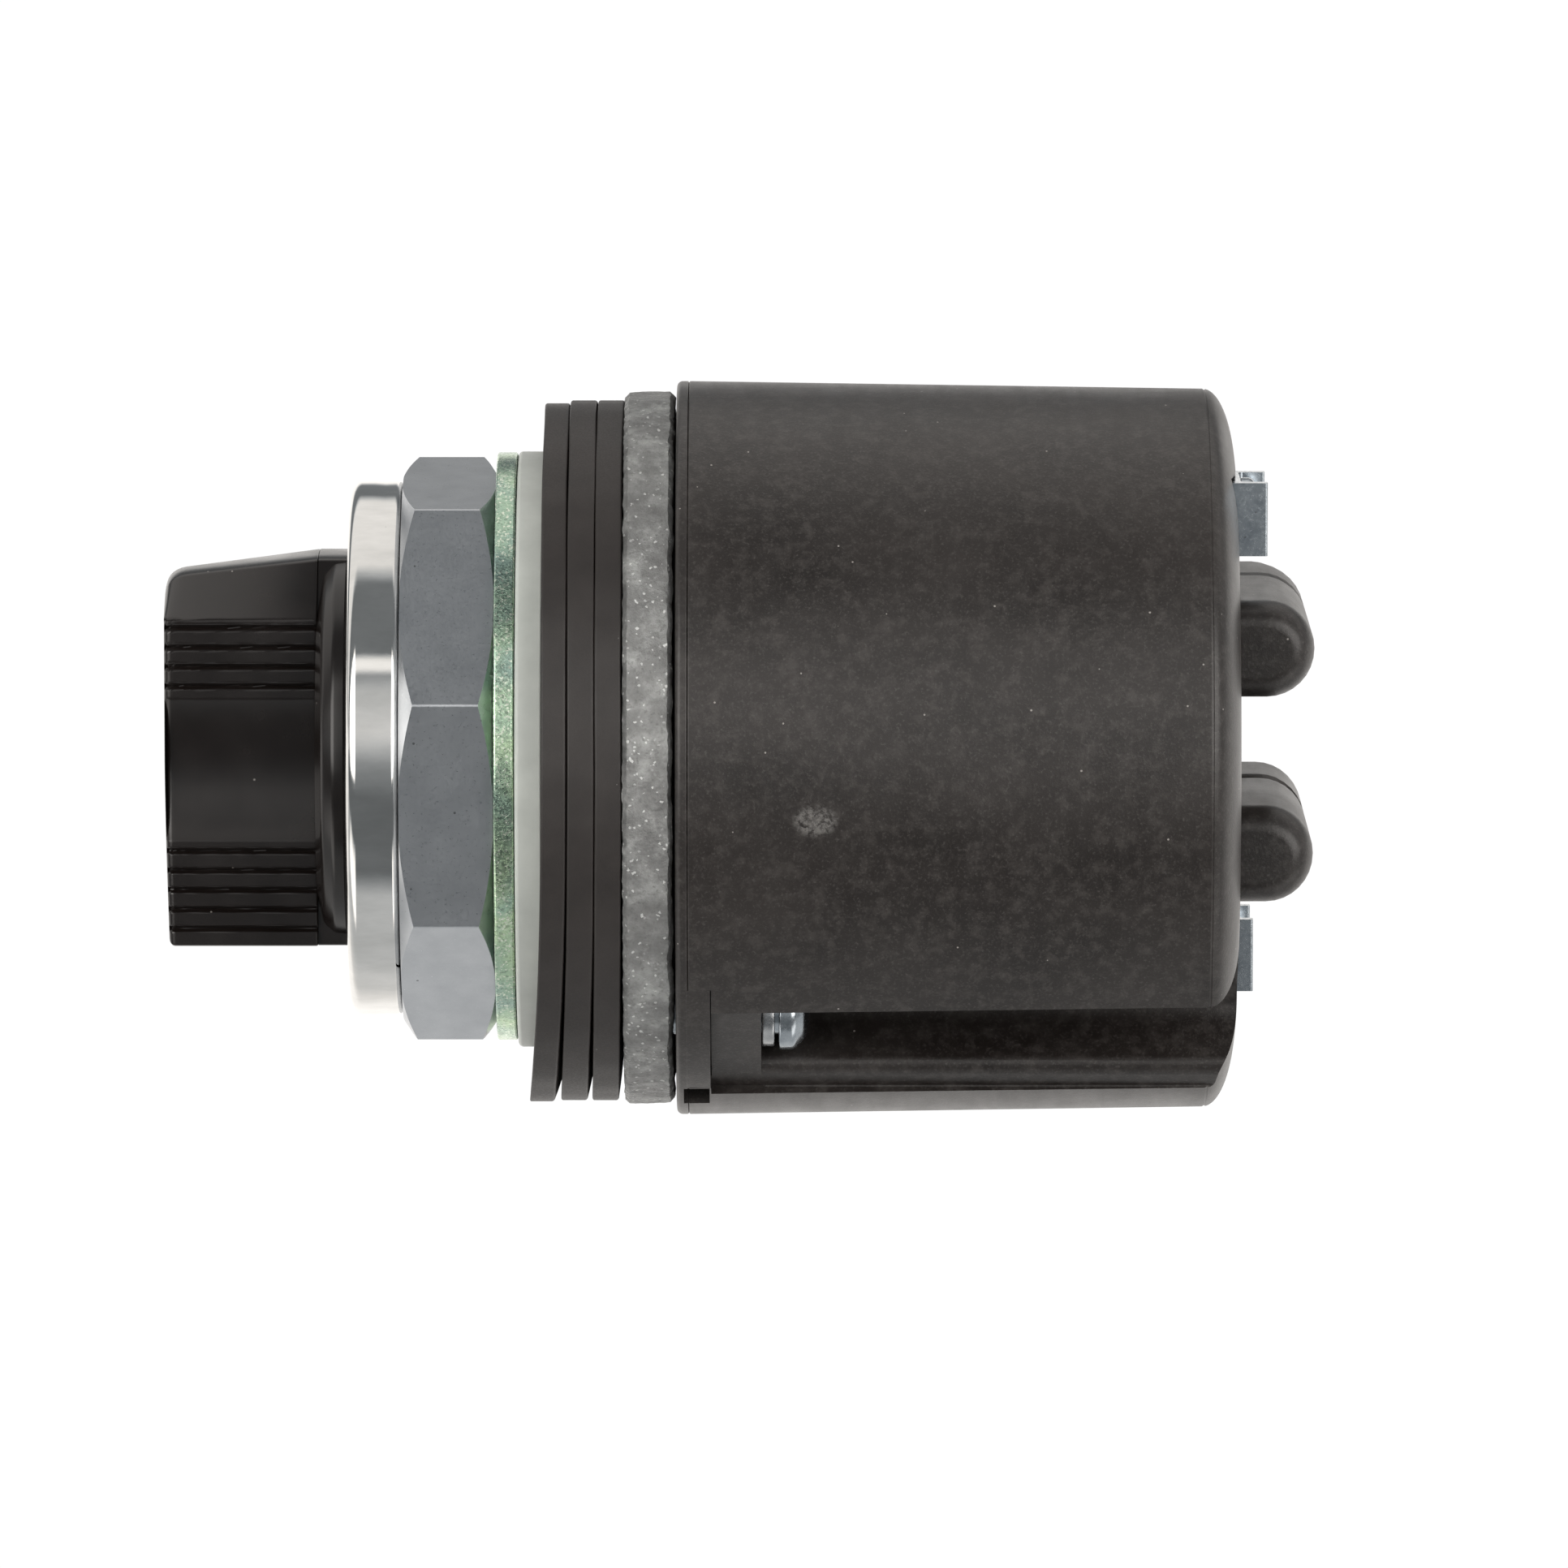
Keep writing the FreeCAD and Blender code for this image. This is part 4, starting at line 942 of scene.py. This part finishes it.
def make_terminal(name, turn):
    """One terminal's slotted screw and its toothed saddle clamp."""
    y, z = TERMINALS[name]
    x0 = span(f"saddle_clamp_{name}")[0]
    screw = moved(screw_mesh(f"terminal_screw_{name}_body", x0 + 0.9, 2.3, 1.5, 1.7, 6.5, turn), y, z)
    piece = finish_mesh(
        f"terminal_screw_{name}_body", screw, f"terminal_{name}", "steel", [f"terminal_screw_{name}"], 40
    )
    half_w = 3.9
    half_h = 2.35
    outline = [(x0, -half_w), (x0 + 2.6, -half_w), (x0 + 2.6, -half_w + 0.9), (x0 + 0.9, -half_w + 0.9)]
    outline += [(x0 + 0.9, half_w - 0.9), (x0 + 2.6, half_w - 0.9), (x0 + 2.6, half_w), (x0, half_w)]
    outline = rounded(outline, {0: 0.35, 1: 0.15, 2: 0.15, 3: 0.3, 4: 0.3, 5: 0.15, 6: 0.15, 7: 0.35}, 4)
    plate = prism_mesh(
        "clamp", outline, [-half_h, half_h], lambda s, u, v: Vector((u, y + v, z + s))
    )
    cutters = [rod_mesh("bore", x0 - 1, x0 + 3, y, z, 1.78, 40)]
    for k in range(5):
        tooth = z - half_h + 0.6 + 0.9 * k
        groove = [(x0 - 0.3, -0.45), (x0 + 0.28, 0.0), (x0 - 0.3, 0.45)]
        cutters.append(
            prism_mesh("tooth", groove, [-9.0, 9.0], lambda s, u, v, t=tooth: Vector((u, y + s, t + v)))
        )
    mesh = combined(plate, cutters, "DIFFERENCE")
    clamp = finish_mesh(
        f"saddle_clamp_{name}_body", mesh, f"terminal_{name}", "steel", [f"saddle_clamp_{name}"], 40
    )
    return [piece, soft_edges(clamp, 0.06, 40.0, 2)]


def make_all():
    """Every visible piece."""
    made = [
        make_bezel_ring(),
        make_nut(),
        make_washer(
            "ground_washer_plate", "ground_washer", "green_chromate", (0.16, 0.16, 0.1, 0.1), False, 0.2, 0.1
        ),
        make_washer("trim_washer_plate", "trim_washer", "grey_trim", (0.3, 0.12, 0.1, 0.1), True, 0.15, -0.1),
        make_casting(),
        make_knob(),
        make_housing(),
        make_base_plate(),
        make_mounting_screws(),
        make_lock_washers(),
    ]
    made += [make_gasket(cad) for cad in GASKET_DROOP]
    for name, turn in zip(TERMINALS, (20, 75, 130, 160)):
        made += make_terminal(name, turn)
    return made


def dress():
    """Gives every piece and every remaining CAD node the material of its slot."""
    slot_of = {s["node"]: s["material_slot"] for s in frame["record"]["subparts"]}
    for name, obj in NODES.items():
        obj.data.materials.clear()
        obj.data.materials.append(MATERIALS[slot_of[name]])
    for piece in PIECES:
        piece.data.materials.clear()
        piece.data.materials.append(MATERIALS[piece["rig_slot"]])


# ---- stage, light and camera ----
def make_stage():
    """A wide plain white floor and shell, seen by the camera only: the tent gives all the light."""
    material = bpy.data.materials.new("stage_white")
    material.use_nodes = True
    tree = material.node_tree
    tree.nodes.clear()
    glow = node(tree, "Emission", {"Color": (1.0, 1.0, 1.0, 1.0), "Strength": 1.02})
    out = node(tree, "OutputMaterial")
    tree.links.new(glow.outputs[0], out.inputs["Surface"])
    reach = 30.0
    level = -0.075
    floor_mesh = bpy.data.meshes.new("floor")
    floor_mesh.from_pydata(
        [(-reach, -reach, level), (reach, -reach, level), (reach, reach, level), (-reach, reach, level)],
        [], [(0, 1, 2, 3)],
    )
    shell_mesh = bpy.data.meshes.new("shell")
    work = bmesh.new()
    bmesh.ops.create_icosphere(work, subdivisions=4, radius=3.0)
    work.to_mesh(shell_mesh)
    work.free()
    for mesh in (floor_mesh, shell_mesh):
        mesh.materials.append(material)
        piece = bpy.data.objects.new(mesh.name, mesh)
        bpy.context.scene.collection.objects.link(piece)
        piece.visible_diffuse = False
        piece.visible_glossy = False
        piece.visible_transmission = False
        piece.visible_shadow = False


def make_light_tent():
    """Soft studio light from all round, as a world whose brightness depends on direction only."""
    world = bpy.data.worlds.new("tent")
    bpy.context.scene.world = world
    world.use_nodes = True
    tree = world.node_tree
    tree.nodes.clear()
    way = node(tree, "TexCoord").outputs["Generated"]
    parts = node(tree, "SeparateXYZ", {"Vector": way})
    toward = math_of(tree, "MULTIPLY", parts.outputs["Y"], -1.0)
    angle = math_of(tree, "ARCTAN2", parts.outputs["Z"], toward)
    turn = math_of(tree, "ADD", math_of(tree, "DIVIDE", angle, TAU), 0.5)
    # Brightness round the object from straight behind, under, in front, over and behind again.
    round_it = ramp(tree, turn, [
        (0.00, 1.00), (0.11, 1.00), (0.16, 0.66), (0.23, 0.50), (0.335, 0.46), (0.365, 0.14), (0.46, 0.14),
        (0.50, 0.29), (0.535, 0.62), (0.585, 0.54), (0.606, 0.26), (0.613, 0.95), (0.624, 0.95),
        (0.632, 0.18), (0.728, 0.16), (0.756, 0.80), (0.885, 0.80), (0.905, 0.16), (0.948, 0.18),
        (0.965, 1.00), (1.00, 1.00),
    ])
    side = math_of(tree, "ABSOLUTE", parts.outputs["X"])
    lateral = ramp(tree, side, [(0.26, 0.0), (0.34, 1.0), (0.86, 1.0), (0.92, 0.0)])
    height = ramp(tree, turn, [
        (0.27, 0.0), (0.30, 0.35), (0.37, 0.35), (0.40, 0.0),
        (0.475, 0.0), (0.49, 1.0), (0.625, 1.0), (0.645, 0.0),
    ])
    boxes = math_of(tree, "MULTIPLY", math_of(tree, "MULTIPLY", lateral, height), 3.4)
    total = math_of(tree, "ADD", math_of(tree, "MULTIPLY", round_it, 1.22), boxes)
    tint = ramp(tree, total, [(0.2, (0.92, 0.97, 1.0)), (0.95, (1.0, 0.97, 0.935))])
    glow = node(tree, "Background", {"Color": tint, "Strength": total})
    out = node(tree, "OutputWorld")
    tree.links.new(glow.outputs[0], out.inputs["Surface"])


def make_camera():
    """Long lens, square to the switch axis and a little above it."""
    elevation = math.radians(7.0)
    distance = 1.0
    frame_width = 0.10143
    back = Vector((0.0, -math.cos(elevation), math.sin(elevation)))
    up = Vector((0.0, math.sin(elevation), math.cos(elevation)))
    target = Vector((0.01543, 0.0, 0.0)) - up * 0.00236
    data = bpy.data.cameras.new("camera")
    data.lens = data.sensor_width * distance / frame_width
    data.clip_start = 0.1
    data.clip_end = 100.0
    camera = bpy.data.objects.new("camera", data)
    camera.location = target + back * distance
    camera.rotation_mode = "QUATERNION"
    camera.rotation_quaternion = (-back).to_track_quat("-Z", "Y")
    bpy.context.scene.collection.objects.link(camera)
    bpy.context.scene.camera = camera


make_camera()
make_stage()
make_light_tent()
bpy.context.scene.view_settings.view_transform = "Standard"
PIECES = make_all()
dress()
